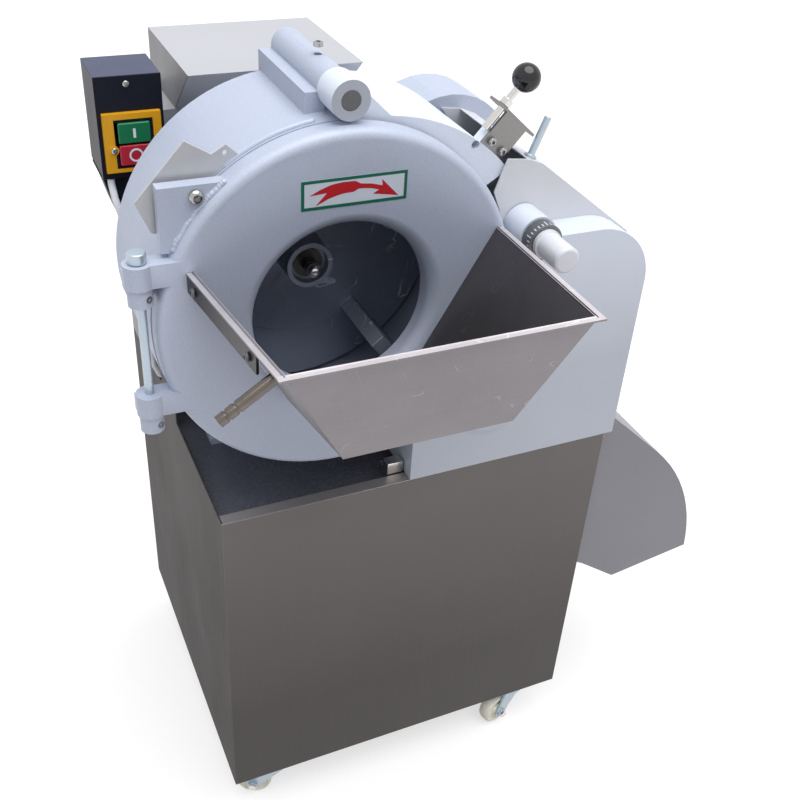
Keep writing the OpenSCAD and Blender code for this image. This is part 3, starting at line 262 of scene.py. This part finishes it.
BRUSH_UP = (520, 520, 9)
BRUSH_ACROSS = (9, 520, 520)
CAST = (430, 430, 430)
FINE = (300, 300, 300)
FINISH = {
    "stainless": finish(
        "brushed_stainless", (0.25, 0.24, 0.23), 0.75, (0.34, 0.5), (3.0, 0.05, 0.03), BRUSH_UP, 0.15),
    "dark_plate": finish(
        "wet_dark_plate", (0.125, 0.127, 0.148), 0.3, (0.16, 0.34), (5.0, 0.3, 0.05), FINE, 0.05),
    "cast_grey": finish(
        "silver_paint", (0.48, 0.52, 0.615), 0.14, (0.40, 0.56), (4.0, 0.05, 0.10), CAST, 0.35, gloss=0.3),
    "hood_sheet": finish(
        "pale_grey_paint", (0.68, 0.68, 0.70), 0.12, (0.34, 0.5), (8.0, 0.04, 0.03), FINE, 0.06,
        gloss=0.35),
    "rotor_steel": finish(
        "scratched_rotor", (0.33, 0.36, 0.43), 0.5, (0.3, 0.55), (7.0, 0.22, 0.1), FINE, 0.2,
        marks=((0.78, 0.82, 0.90), 13.0, 0.006)),
    "bright_steel": finish(
        "polished_steel", (0.66, 0.65, 0.63), 1.0, (0.12, 0.26), (20.0, 0.03, 0.02), FINE, 0.03),
    "zinc": finish("zinc_plate", (0.46, 0.54, 0.60), 0.7, (0.24, 0.42), (30.0, 0.1, 0.05), FINE, 0.1),
    "blade_steel": finish(
        "ground_blade", (0.6, 0.61, 0.62), 1.0, (0.14, 0.28), (9.0, 0.04, 0.02), (20, 600, 20), 0.08),
    "iron": finish(
        "cast_iron", (0.10, 0.10, 0.11), 0.7, (0.5, 0.7), (20.0, 0.15, 0.1), (150, 150, 150), 0.3),
    "motor_paint": finish(
        "motor_enamel", (0.16, 0.20, 0.24), 0.1, (0.35, 0.5), (9.0, 0.08, 0.05), FINE, 0.1),
    "black_plastic": finish(
        "black_plastic", (0.012, 0.0135, 0.023), 0.0, (0.34, 0.48), (30.0, 0.1, 0.1), (900, 900, 900),
        0.15),
    "black_gloss": finish(
        "black_gloss", (0.012, 0.012, 0.014), 0.0, (0.06, 0.12), (20.0, 0.1, 0.02), (40, 40, 40)),
    "yellow_plastic": finish(
        "yellow_plastic", (0.76, 0.36, 0.004), 0.0, (0.28, 0.4), (20.0, 0.06, 0.03), FINE, 0.04),
    "green_plastic": finish(
        "green_plastic", (0.005, 0.17, 0.065), 0.0, (0.25, 0.36), (20.0, 0.06, 0.03), FINE, 0.04),
    "red_plastic": finish(
        "red_plastic", (0.46, 0.015, 0.035), 0.0, (0.25, 0.36), (20.0, 0.06, 0.03), FINE, 0.04),
    "white_plastic": finish(
        "white_plastic", (0.80, 0.81, 0.83), 0.0, (0.4, 0.55), (30.0, 0.05, 0.03), FINE, 0.05),
    "belt_rubber": finish("belt_rubber", (0.02, 0.02, 0.02), 0.0, (0.6, 0.8), (40.0, 0.1, 0.1), FINE, 0.1),
    "nylon": finish("cream_nylon", (0.78, 0.75, 0.62), 0.0, (0.35, 0.5), (40.0, 0.08, 0.04), FINE, 0.06),
    "dial_grey": finish(
        "dial_grey", (0.15, 0.155, 0.16), 0.6, (0.25, 0.4), (30.0, 0.06, 0.03), FINE, 0.05),
}
# Painted shade: the cabinet's sheets darken towards the bottom.
front_sheet = finish(
    "front_sheet", (0.134, 0.124, 0.118), 0.65, (0.36, 0.5), (2.2, 0.07, 0.04), BRUSH_UP, 0.2,
    shaded=True, downward_painted_shade=(440.0, 130.0, 0.55), gloss=0.3)
# Painted shade: the shell's sheet is a darker copy of the front's stainless, for its left face.
side_sheet_painted_shade = finish(
    "side_sheet_painted_shade", (0.085, 0.077, 0.070), 0.05, (0.42, 0.56), (2.6, 0.08, 0.04), BRUSH_UP, 0.2,
    downward_painted_shade=(560.0, 130.0, 0.66), gloss=0.05)
hopper_sheet = finish(
    "hopper_sheet", (0.255, 0.238, 0.246), 0.7, (0.3, 0.48), (7.0, 0.17, 0.06), BRUSH_ACROSS, 0.2,
    marks=((0.36, 0.345, 0.355), 9.0, 0.002), shaded=True, gloss=0.3)
chute_sheet = finish(
    "chute_sheet", (0.245, 0.24, 0.258), 0.2, (0.36, 0.5), (5.0, 0.06, 0.04), BRUSH_UP, 0.1, gloss=0.3)
cover_sheet = finish(
    "cover_sheet", (0.455, 0.455, 0.465), 0.05, (0.3, 0.46), (3.0, 0.06, 0.03), BRUSH_ACROSS, 0.1,
    shaded=True, gloss=0.18)
# Painted shade: the cover paint darkens towards the bottom.
cover_paint = finish(
    "cover_paint", (0.66, 0.70, 0.77), 0.12, (0.32, 0.48), (3.0, 0.05, 0.03), CAST, 0.08,
    downward_painted_shade=(740.0, 590.0, 0.74), gloss=0.3)
gate_paint = finish(
    "gate_paint", (0.72, 0.76, 0.84), 0.12, (0.36, 0.5), (3.5, 0.04, 0.04), CAST, 0.15, shaded=True,
    gloss=0.35)
brown_bar = finish(
    "brown_bar", (0.030, 0.024, 0.021), 0.5, (0.24, 0.4), (14.0, 0.4, 0.05), BRUSH_ACROSS, 0.1, gloss=0.2)
plate_steel = finish(
    "plate_steel", (0.27, 0.262, 0.255), 0.85, (0.26, 0.44), (9.0, 0.15, 0.05), BRUSH_UP, 0.15)
hub_grey = finish("hub_grey", (0.085, 0.085, 0.075), 0.6, (0.3, 0.45), (30.0, 0.2, 0.06), FINE, 0.1)
pin_grey = finish("pin_grey", (0.13, 0.135, 0.14), 0.3, (0.4, 0.55), (30.0, 0.12, 0.06), FINE, 0.1)
pin_steel = finish("pin_steel", (0.16, 0.14, 0.125), 1.0, (0.14, 0.3), (30.0, 0.25, 0.05), FINE, 0.05)
screw_steel = finish("screw_steel", (0.40, 0.40, 0.40), 1.0, (0.16, 0.3), (20.0, 0.1, 0.03), FINE, 0.05)
fold_sheet = finish(
    "fold_sheet", (0.52, 0.52, 0.525), 0.2, (0.3, 0.46), (12.0, 0.12, 0.04), BRUSH_UP, 0.1)
box_plastic = finish(
    "box_plastic", (0.012, 0.0135, 0.022), 0.0, (0.34, 0.48), (30.0, 0.1, 0.1), (900, 900, 900), 0.15,
    shaded=True, gloss=0.1)
label_white = finish("label_white", (0.66, 0.70, 0.76), 0.0, (0.3, 0.4), (30.0, 0.03, 0.02), FINE)
label_green = finish("label_green", (0.006, 0.13, 0.075), 0.0, (0.3, 0.42), (30.0, 0.06, 0.04), FINE)
label_red = finish("label_red", (0.52, 0.012, 0.02), 0.0, (0.3, 0.42), (30.0, 0.06, 0.04), FINE)
NODE_FINISH = {
    "front_panel": front_sheet, "cabinet_shell": side_sheet_painted_shade, "hopper": hopper_sheet,
    "discharge_chute": chute_sheet, "upper_cover": cover_sheet, "belt_guard": cover_sheet,
    "front_cover": cover_paint, "cutter_housing": cover_paint, "slice_gate": gate_paint,
    "hopper_bar": brown_bar, "lock_bracket": plate_steel, "interlock_plate": fold_sheet,
    "switch_box": box_plastic, "pivot_pin": pin_grey, "hopper_pin": pin_steel, "impeller_nut": hub_grey,
}


def finish_of(name):
    """A node's own finish, or else that of its material slot."""
    return NODE_FINISH.get(name, FINISH[slot_of[name]])


# CAD nodes: a finish for each, and eased edges on those that show
def hopper_painted_light(centre, normal):
    """Painted shade on the inside, painted highlight on the folded rim, plain outside."""
    inwards = ((HOPPER_MIDDLE - centre) * normal).sum(1) > 0
    rim = (normal[:, 2] > 0.9) & (centre[:, 2] > HOPPER_MIDDLE[2])
    return np.where(rim, 2.6, np.where(inwards, 0.45, 1.0))


def upward_painted_highlight(centre, normal):
    """Painted highlight on upward faces, plain elsewhere."""
    return np.where(normal[:, 2] > 0.9, 3.0, 1.0)


def cover_painted_light(centre, normal):
    """Painted shade on faces that look left, painted light on those that slant down, plain elsewhere."""
    return np.where(normal[:, 0] < -0.6, 0.46, np.where(normal[:, 2] < -0.2, 1.6, 1.0))


def gate_painted_shade(centre, normal):
    """Painted shade on the front face of the pivot's boss, plain elsewhere."""
    boss = (normal[:, 1] < -0.9) & (centre[:, 1] < GATE_BOSS_BACK_Y)
    return np.where(boss, 0.62, 1.0)


def box_top_painted_highlight(centre, normal):
    """Painted highlight on upward faces, plain elsewhere."""
    return np.where(normal[:, 2] > 0.9, 6.0, 1.0)


def front_cover_weight(middle):
    """Full rounding on the outer edges of the front, apart from the dial's bore and the round boss."""
    front = np.abs(middle[:, 1]) < 0.3
    dial = np.hypot(middle[:, 0] - DIAL_X, middle[:, 2] - DIAL_Z) < DIAL_BORE_R
    boss = np.hypot(middle[:, 0] - COVER_BOSS_X, middle[:, 2] - COVER_BOSS_Z) < COVER_BOSS_R
    return np.where(front & ~dial & ~boss, 1.0, 0.2)


def eased(name, edge, weight=None, shade=None, sharp=28, segments=3):
    """A CAD node with eased edges: its triangles joined, flat areas made single faces, sharp edges bevelled.
    A weight gives each edge its share of the width, by its middle; a shade is kept per face."""
    mesh = nodes[name].data.copy()
    mesh.name = name + "_eased"
    bm = bmesh.new()
    bm.from_mesh(mesh)
    bmesh.ops.remove_doubles(bm, verts=bm.verts, dist=2e-6)
    bmesh.ops.dissolve_limit(bm, angle_limit=radians(0.6), verts=bm.verts, edges=bm.edges)
    bends = np.array([e.calc_face_angle(0.0) for e in bm.edges]) > radians(sharp)
    bm.to_mesh(mesh)
    bm.free()
    mesh.polygons.foreach_set("use_smooth", np.ones(len(mesh.polygons), bool))
    mesh.set_sharp_from_angle(angle=radians(sharp))
    if weight:
        ends = np.empty(2 * len(mesh.edges), int)
        mesh.edges.foreach_get("vertices", ends)
        places = np.empty(3 * len(mesh.vertices))
        mesh.vertices.foreach_get("co", places)
        middle = 1000 * (places.reshape(-1, 3)[ends.reshape(-1, 2)].mean(1) - CORNER)
        share = np.where(bends, weight(middle), 0.0).astype(np.float32)
        mesh.attributes.new("bevel_weight_edge", "FLOAT", "EDGE").data.foreach_set("value", share)
    if shade:
        count = len(mesh.polygons)
        centre, normal = np.empty(3 * count), np.empty(3 * count)
        mesh.polygons.foreach_get("center", centre)
        mesh.polygons.foreach_get("normal", normal)
        values = shade(1000 * (centre.reshape(-1, 3) - CORNER), normal.reshape(-1, 3))
        mesh.attributes.new("shade", "FLOAT", "FACE").data.foreach_set("value", values.astype(np.float32))
    piece = bpy.data.objects.new(name + "_eased", mesh)
    bpy.context.scene.collection.objects.link(piece)
    if edge:
        bevel = piece.modifiers.new("eased_edges", "BEVEL")
        bevel.width = 0.001 * edge
        bevel.segments = segments
        bevel.limit_method = "WEIGHT" if weight else "ANGLE"
        bevel.angle_limit = radians(sharp)
        bevel.harden_normals = True
    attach(piece, body_of[name])
    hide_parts(name)
    return piece


EDGES = {
    "cabinet_shell": 0.8, "front_door": 1.6, "drum_case": 1.2, "cutter_hood": 0.7, "switch_bezel": 1.0,
    "start_button": 1.6, "stop_button": 1.6, "hinge_rod": 1.4, "dial_ring": 0.7, "dial_cap": 0.8,
    "lock_bracket": 0.4, "discharge_chute": 0.6, "top_plate": 0.5, "impeller": 1.0, "impeller_nut": 0.5,
    "hopper_bar": 0.5, "hopper_pin": 0.6, "interlock_plate": 0.5, "pivot_pin": 0.6, "stop_block": 0.6,
    "hood_stud": 0.6, "lock_plunger": 0.4, "caster_plates": 0.5, "cutter_housing": 0.8,
}
for name, obj in nodes.items():
    obj.data.materials.clear()
    obj.data.materials.append(finish_of(name))
for name, edge in EDGES.items():
    eased(name, edge)
# Painted highlight on the front panel's upward faces.
eased("front_panel", 0.8, shade=upward_painted_highlight)
# Painted light on the hopper: shade inside, a highlight on the rim.
eased("hopper", 0.5, shade=hopper_painted_light)
# Painted shade on the covers' left faces, painted light on their downward slants.
eased("upper_cover", 0.8, shade=cover_painted_light)
eased("belt_guard", 1.0, shade=cover_painted_light)
# Painted highlight on the switch box's top.
eased("switch_box", 2.2, shade=box_top_painted_highlight)
# Painted shade on the front of the gate's pivot boss.
eased("slice_gate", 1.4, shade=gate_painted_shade)
eased("front_cover", 6.0, weight=front_cover_weight, segments=4)
eased("switch_cable", 0.0, sharp=60)
for corner in ("front_left", "front_right", "back_left", "back_right"):
    eased("fork_" + corner, 0.6)
    eased("wheel_" + corner, 1.5)


# New pieces
def piece_of(name, mesh, material, body, smooth=35):
    """An object at the origin with its finish, smooth but for edges over the angle, riding on a body."""
    mesh.polygons.foreach_set("use_smooth", np.ones(len(mesh.polygons), bool))
    mesh.set_sharp_from_angle(angle=radians(smooth))
    mesh.materials.append(material)
    piece = bpy.data.objects.new(name, mesh)
    bpy.context.scene.collection.objects.link(piece)
    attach(piece, body)
    return piece


def surface(name, points, material, body, wrap_rows=False):
    """Quads over grids of points (grids, rows, columns, xyz) in cabinet millimetres. The last column joins
    the first, as do the rows where they wrap. Points that meet are merged, faces turned outwards."""
    grids = at(points).reshape(-1, *np.shape(points)[-3:])
    index = np.arange(grids[..., 0].size).reshape(grids.shape[:3])
    low = index if wrap_rows else index[:, :-1]
    high = np.roll(index, -1, 1) if wrap_rows else index[:, 1:]
    quads = np.stack([low, np.roll(low, -1, 2), np.roll(high, -1, 2), high], -1)
    mesh = bpy.data.meshes.new(name)
    mesh.from_pydata(grids.reshape(-1, 3).tolist(), [], quads.reshape(-1, 4).tolist())
    bm = bmesh.new()
    bm.from_mesh(mesh)
    bmesh.ops.remove_doubles(bm, verts=bm.verts, dist=1e-6)
    bmesh.ops.recalc_face_normals(bm, faces=bm.faces)
    bm.to_mesh(mesh)
    bm.free()
    return piece_of(name, mesh, material, body)


def turned(base, axis, radius, height):
    """Rows of a form turned round an axis: base + height along the axis + radius round it, with columns at
    even angles. The radius has a value per row, or per row and column."""
    axis = np.asarray(axis, float) / np.linalg.norm(axis)
    side = np.cross(axis, (0.0, 0.0, 1.0) if abs(axis[2]) < 0.9 else (1.0, 0.0, 0.0))
    side /= np.linalg.norm(side)
    radius, height = np.asarray(radius, float), np.asarray(height, float)
    columns = radius.shape[1] if radius.ndim == 2 else 48
    turn = 2 * pi * np.arange(columns) / columns
    ring = np.cos(turn)[:, None] * side + np.sin(turn)[:, None] * np.cross(axis, side)
    reach = np.broadcast_to(radius.reshape(len(height), -1), (len(height), columns))
    return np.asarray(base, float) + height[:, None, None] * axis + reach[..., None] * ring


def hexagon(inner, columns=48):
    """Radius of a six-sided outline at even angles: the inner radius over the cosine to the nearest flat."""
    turn = 2 * pi * np.arange(columns) / columns
    return inner / np.cos((turn + pi / 6) % (pi / 3) - pi / 6)


def socket_head(base, axis, radius, height, dome):
    """Screw head: a straight edge, an arched top that rises by the dome, and a six-sided socket in it."""
    arch = np.linspace(0.0, 1.0, 5)
    ones = np.ones(48)
    socket = hexagon(0.42 * radius)
    rows = [0 * ones, radius * ones]
    rows += [radius * (1 - 0.42 * t) * ones for t in arch]
    rows += [socket, 0.96 * socket, 0 * ones]
    levels = [0.0, 0.0, *(height + dome * np.sin(arch * pi / 2)), height + dome, 0.35 * height, 0.35 * height]
    return turned(base, axis, np.array(rows), levels)


def hex_head(base, axis, inner, height):
    """Hexagon head with a low bevelled top."""
    side = hexagon(inner)
    rows = [0 * side, side, side, 0.86 * side, 0 * side]
    return turned(base, axis, np.array(rows), [0.0, 0.0, 0.85 * height, height, height])


def solids(name):
    """The separate solids of a node as arrays of their points in cabinet millimetres."""
    bm = bmesh.new()
    bm.from_mesh(nodes[name].data)
    bmesh.ops.remove_doubles(bm, verts=bm.verts, dist=2e-6)
    left, found = set(bm.verts), []
    while left:
        group_now, edge_now = set(), {next(iter(left))}
        while edge_now:
            group_now |= edge_now
            edge_now = {e.other_vert(v) for v in edge_now for e in v.link_edges} - group_now
        found.append(1000 * (np.array([v.co for v in group_now]) - CORNER))
        left -= group_now
    bm.free()
    return sorted(found, key=lambda p: tuple(p.mean(0).round(3)))


def screw_heads(name, axis, radius, height, dome, material):
    """Socket heads that stand for a node's screws, each on its solid's axis with its top at its end."""
    axis = np.asarray(axis, float) / np.linalg.norm(axis)
    heads = []
    for points in solids(name):
        middle = (points.min(0) + points.max(0)) / 2
        top = (points @ axis).max()
        base = middle + axis * (top - height - dome - middle @ axis)
        heads.append(socket_head(base, axis, radius, height, dome))
    piece = surface(name + "_heads", np.array(heads), material, body_of[name])
    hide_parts(name)


def flat_plate(name, outline, y, thick, material, body):
    """A plate on an outline of (x, z) in cabinet millimetres, with its back at y and its front before it."""
    count = len(outline)
    xz = np.asarray(outline, float)
    back = np.c_[xz[:, 0], np.full(count, y), xz[:, 1]]
    front = back - [0.0, thick, 0.0]
    ring = np.arange(count)
    after = np.roll(ring, -1)
    faces = [ring.tolist(), (ring[::-1] + count).tolist()]
    faces += np.stack([ring, ring + count, after + count, after], 1).tolist()
    mesh = bpy.data.meshes.new(name)
    mesh.from_pydata(at(np.r_[back, front]).tolist(), [], faces)
    bm = bmesh.new()
    bm.from_mesh(mesh)
    bmesh.ops.recalc_face_normals(bm, faces=bm.faces)
    bm.to_mesh(mesh)
    bm.free()
    return piece_of(name, mesh, material, body)


def direction_label():
    """Pale label on the door with a green line round it and a red arrow the way the rotor turns."""
    x0, x1, z0, z1 = LABEL
    flat_plate("label_field", [(x0, z0), (x1, z0), (x1, z1), (x0, z1)], DOOR_Y, 0.25, label_white, "door")
    line, line_back, line_front, arrow_back = 3.2, DOOR_Y - 0.2, DOOR_Y - 0.35, DOOR_Y - 0.22
    corners = np.array([(-1, -1), (1, -1), (1, 1), (-1, 1)])
    half = np.array([x1 - x0, z1 - z0]) / 2
    mid = np.array([x0 + x1, z0 + z1]) / 2
    rows = []
    for inset, y in ((0.0, line_back), (0.0, line_front), (line, line_front), (line, line_back)):
        xz = mid + corners * (half - inset)
        rows.append(np.c_[xz[:, 0], np.full(4, y), xz[:, 1]])
    surface("label_line", np.array([rows]), label_green, "door", wrap_rows=True)
    arrow = np.array([(.073, .49), (.174, .663), (.274, .788), (.375, .836), (.50, .829), (.554, .719),
                      (.652, .671), (.762, .568), (.755, .776), (.922, .152), (.670, .317), (.730, .433),
                      (.652, .512), (.589, .543), (.532, .549), (.488, .465), (.40, .452), (.325, .402),
                      (.249, .322), (.132, .128), (.237, .532)])
    outline = np.array([x0, z0]) + arrow * [x1 - x0, z1 - z0]
    flat_plate("label_arrow", outline, arrow_back, 0.13, label_red, "door")


def switch_marks():
    """A white bar on the start button and a white ring on the stop button."""
    half_w, half_h = 1.4, 5.2
    bar = [(BUTTON_X + sx * half_w, START_Z + sz * half_h) for sx, sz in ((-1, -1), (1, -1), (1, 1), (-1, 1))]
    flat_plate("start_bar", bar, BUTTON_Y + 0.1, 0.4, FINISH["white_plastic"], body_of["start_button"])
    ring = turned((BUTTON_X, BUTTON_Y + 0.1, STOP_Z), (0, -1, 0), [5.6, 7.6, 7.6, 5.6], [0.0, 0.0, 0.4, 0.4])
    surface("stop_ring", ring, FINISH["white_plastic"], body_of["stop_button"],
            wrap_rows=True)


def dial_ticks():
    """Pale ticks round the dial's dark ring: small curved bars, every fifth one longer."""
    ticks = []
    for k in range(21):
        a = radians(-135 + 13.5 * k)
        far = DIAL_FRONT_Y + (9.0 if k % 5 == 0 else 5.5)
        low, high, half = DIAL_R - 0.3, DIAL_R + 0.15, 0.03
        loop = [(low, a - half), (low, a + half), (high, a + half), (high, a - half)]
        rows = [[(DIAL_X + r * sin(t), y, DIAL_Z + r * cos(t)) for r, t in loop]
                for y in (DIAL_FRONT_Y + 1.2, far)]
        ends = [[tuple(np.mean(row, 0))] * 4 for row in rows]
        ticks.append([ends[0], rows[0], rows[1], ends[1]])
    surface("dial_ticks", np.array(ticks), label_white, "dial")


def rim_bead(name, start, end, reach, y, size, ripple, body):
    """Round bead along an arc about the drum's axis, between two angles in degrees, at one distance from it.
    Its radius is the size, swelling by the ripple's share 27 times on the way, and closes at both ends."""
    s = np.linspace(0.0, 1.0, 181)
    a = np.radians(start + s * (end - start))
    swell = 1 + ripple * (np.abs(np.sin(27 * pi * s + 2 * np.sin(17 * s))) + 1.2 * np.sin(9 * s))
    radius = size * swell * np.clip(np.minimum(s, 1 - s) * 40, 0, 1) ** 0.5
    outward = np.c_[np.cos(a), 0 * a, np.sin(a)]
    turn = 2 * pi * np.arange(14) / 14
    across = outward[:, None] * np.cos(turn)[None, :, None]
    across = across + np.array([0, 1.0, 0]) * np.sin(turn)[None, :, None]
    line = np.array([DRUM_X, y, DRUM_Z]) + (reach + 3 * ripple * np.sin(31 * s))[:, None] * outward
    surface(name, line[:, None] + radius[:, None, None] * across, FINISH["cast_grey"], body)


def hub_cap():
    """Domed end on the impeller's nut: a quarter circle turned round the shaft, on the nut's front face."""
    points = np.concatenate(solids("impeller_nut"))
    middle = (points.min(0) + points.max(0)) / 2
    arch = np.linspace(0.0, pi / 2, 9)
    base = (middle[0], points[:, 1].min() + 0.2, middle[2])
    radius, height = NUT_DOME_R * np.r_[0.0, np.cos(arch)], NUT_DOME_R * np.r_[0.0, np.sin(arch)]
    dome = turned(base, (0, -1, 0), radius, height)
    surface("hub_cap", dome, FINISH["bright_steel"], body_of["impeller_nut"])


def hinge_screws():
    """Set screws in the two fixed hinge collars: short socket heads that face forward and to the right."""
    face = np.array([0.55, -0.83, 0.0])
    heads = [socket_head(np.array([HINGE_X, HINGE_Y, z]) + (KNUCKLE_R - 1.2) * face, face, 3.6, 1.6, 0.3)
             for z in COLLAR_Z]
    surface("hinge_set_screws", np.array(heads), FINISH["dial_grey"], body_of["drum_case"])


def axle_bolts():
    """Hexagon heads on both ends of each caster's axle, on the outer faces of its fork."""
    for joint in frame["joints"]:
        if joint["name"].startswith("wheel_roll_"):
            fork = "fork_" + joint["name"][len("wheel_roll_"):]
            hub = 1000 * (np.array(joint["pos_m"]) - CORNER)
            axis = np.array(joint["axis"], float)
            points = np.empty(3 * len(nodes[fork].data.vertices))
            nodes[fork].data.vertices.foreach_get("co", points)
            offset = 1000 * (points.reshape(-1, 3) - CORNER) - hub
            near = np.linalg.norm(offset, axis=1) < NEAR_AXLE
            reach = np.abs(offset[near] @ axis).max()
            heads = [hex_head(hub + s * axis * (reach - 0.2), s * axis, 5.0, 4.0) for s in (-1, 1)]
            surface(fork + "_axle_bolt", np.array(heads), FINISH["bright_steel"], body_of[fork])


direction_label()
switch_marks()
dial_ticks()
rim_bead("ear_weld", *WELD_ARC, reach=DOOR_R + 0.4, y=EAR_Y, size=2.7, ripple=0.14, body="door")
rim_bead("drum_lip", *LIP_ARC, reach=DOOR_R + 1.4, y=LIP_Y, size=3.4, ripple=0.0, body=body_of["drum_case"])
hub_cap()
hinge_screws()
axle_bolts()
# Screws: the way their heads face, then radius, height and dome of a head
screw_heads("door_bolt", (0, -1, 0), 7.0, 2.4, 2.6, screw_steel)
screw_heads("bracket_screws", (0, -1, 0), 4.6, 4.0, 1.0, screw_steel)
screw_heads("switch_screws", (0, -1, 0), 3.4, 1.0, 0.8, screw_steel)
screw_heads("panel_screws", (1, 0, 0), 4.0, 1.4, 1.6, screw_steel)
screw_heads("hopper_screws", (-0.997, -0.079, 0), 4.4, 1.2, 1.4, pin_grey)
screw_heads("pivot_screw", (0, 0, 1), 5.0, 4.0, 0.6, screw_steel)


# Floor and light
FLOOR_GLOW, FLOOR_HALF = 0.6, 9.0
HORIZON, ZENITH = (0.23, 0.235, 0.25, 1), (0.72, 0.78, 0.90, 1)


def seen_directly(tree):
    """1 for rays from the camera, mirror rays and rays through glass, 0 for soft light on the object."""
    path = node(tree, "LightPath")
    first = math(tree, "MAXIMUM", path.outputs["Is Camera Ray"], path.outputs["Is Glossy Ray"])
    return math(tree, "MAXIMUM", first, path.outputs["Is Transmission Ray"])


def floor():
    """A square floor under the wheels: warm grey for the light it throws back, pale where it is seen."""
    s = FLOOR_HALF
    mesh = bpy.data.meshes.new("floor")
    mesh.from_pydata([(-s, -s, 0), (s, -s, 0), (s, s, 0), (-s, s, 0)], [], [(0, 1, 2, 3)])
    plane = bpy.data.objects.new("floor", mesh)
    bpy.context.scene.collection.objects.link(plane)
    material = finish("pale_floor", (0.42, 0.40, 0.385), 0.0, (0.85, 0.95), (1.0, 0.0, 0.0), (40, 40, 40))
    mesh.materials.append(material)
    tree = material.node_tree
    glow = node(tree, "Emission", Color=(1, 1, 1, 1))
    tree.links.new(math(tree, "MULTIPLY", seen_directly(tree), FLOOR_GLOW), glow.inputs["Strength"])
    both = node(tree, "AddShader")
    tree.links.new(tree.nodes["Principled BSDF"].outputs[0], both.inputs[0])
    tree.links.new(glow.outputs[0], both.inputs[1])
    tree.links.new(both.outputs[0], tree.nodes["Material Output"].inputs["Surface"])


def sky():
    """Soft light from all round, brighter above than at the horizon; white where it is seen or mirrored."""
    world = bpy.data.worlds.new("pale_sky")
    bpy.context.scene.world = world
    world.use_nodes = True
    tree = world.node_tree
    place = node(tree, "TexCoord").outputs["Generated"]
    rise = node(tree, "SeparateXYZ", [("Vector", place)]).outputs["Z"]
    span = node(tree, "MapRange", [("Value", rise)])
    span.inputs["From Min"].default_value = -0.1
    span.inputs["From Max"].default_value = 0.8
    tint = node(tree, "Mix", data_type="RGBA")
    tree.links.new(span.outputs["Result"], tint.inputs[0])
    tint.inputs[6].default_value = HORIZON
    tint.inputs[7].default_value = ZENITH
    light = tree.nodes["Background"]
    tree.links.new(tint.outputs[2], light.inputs["Color"])
    white = node(tree, "Background", Color=(1, 1, 1, 1), Strength=1.0)
    mix = node(tree, "MixShader", [(0, seen_directly(tree))])
    tree.links.new(light.outputs[0], mix.inputs[1])
    tree.links.new(white.outputs[0], mix.inputs[2])
    tree.links.new(mix.outputs[0], tree.nodes["World Output"].inputs["Surface"])


def day_light(strength, elevation, azimuth, spread):
    """One wide soft light from above, turned to come from the azimuth (0 is the front, positive right)."""
    data = bpy.data.lights.new("day_light", "SUN")
    data.energy = strength
    data.angle = radians(spread)
    data.color = (1.0, 0.99, 0.98)
    obj = bpy.data.objects.new("day_light", data)
    bpy.context.scene.collection.objects.link(obj)
    obj.rotation_euler = (radians(90 - elevation), 0, radians(azimuth))


floor()
sky()
day_light(strength=2.8, elevation=77, azimuth=25, spread=60)
bpy.context.scene.view_settings.view_transform = "Standard"
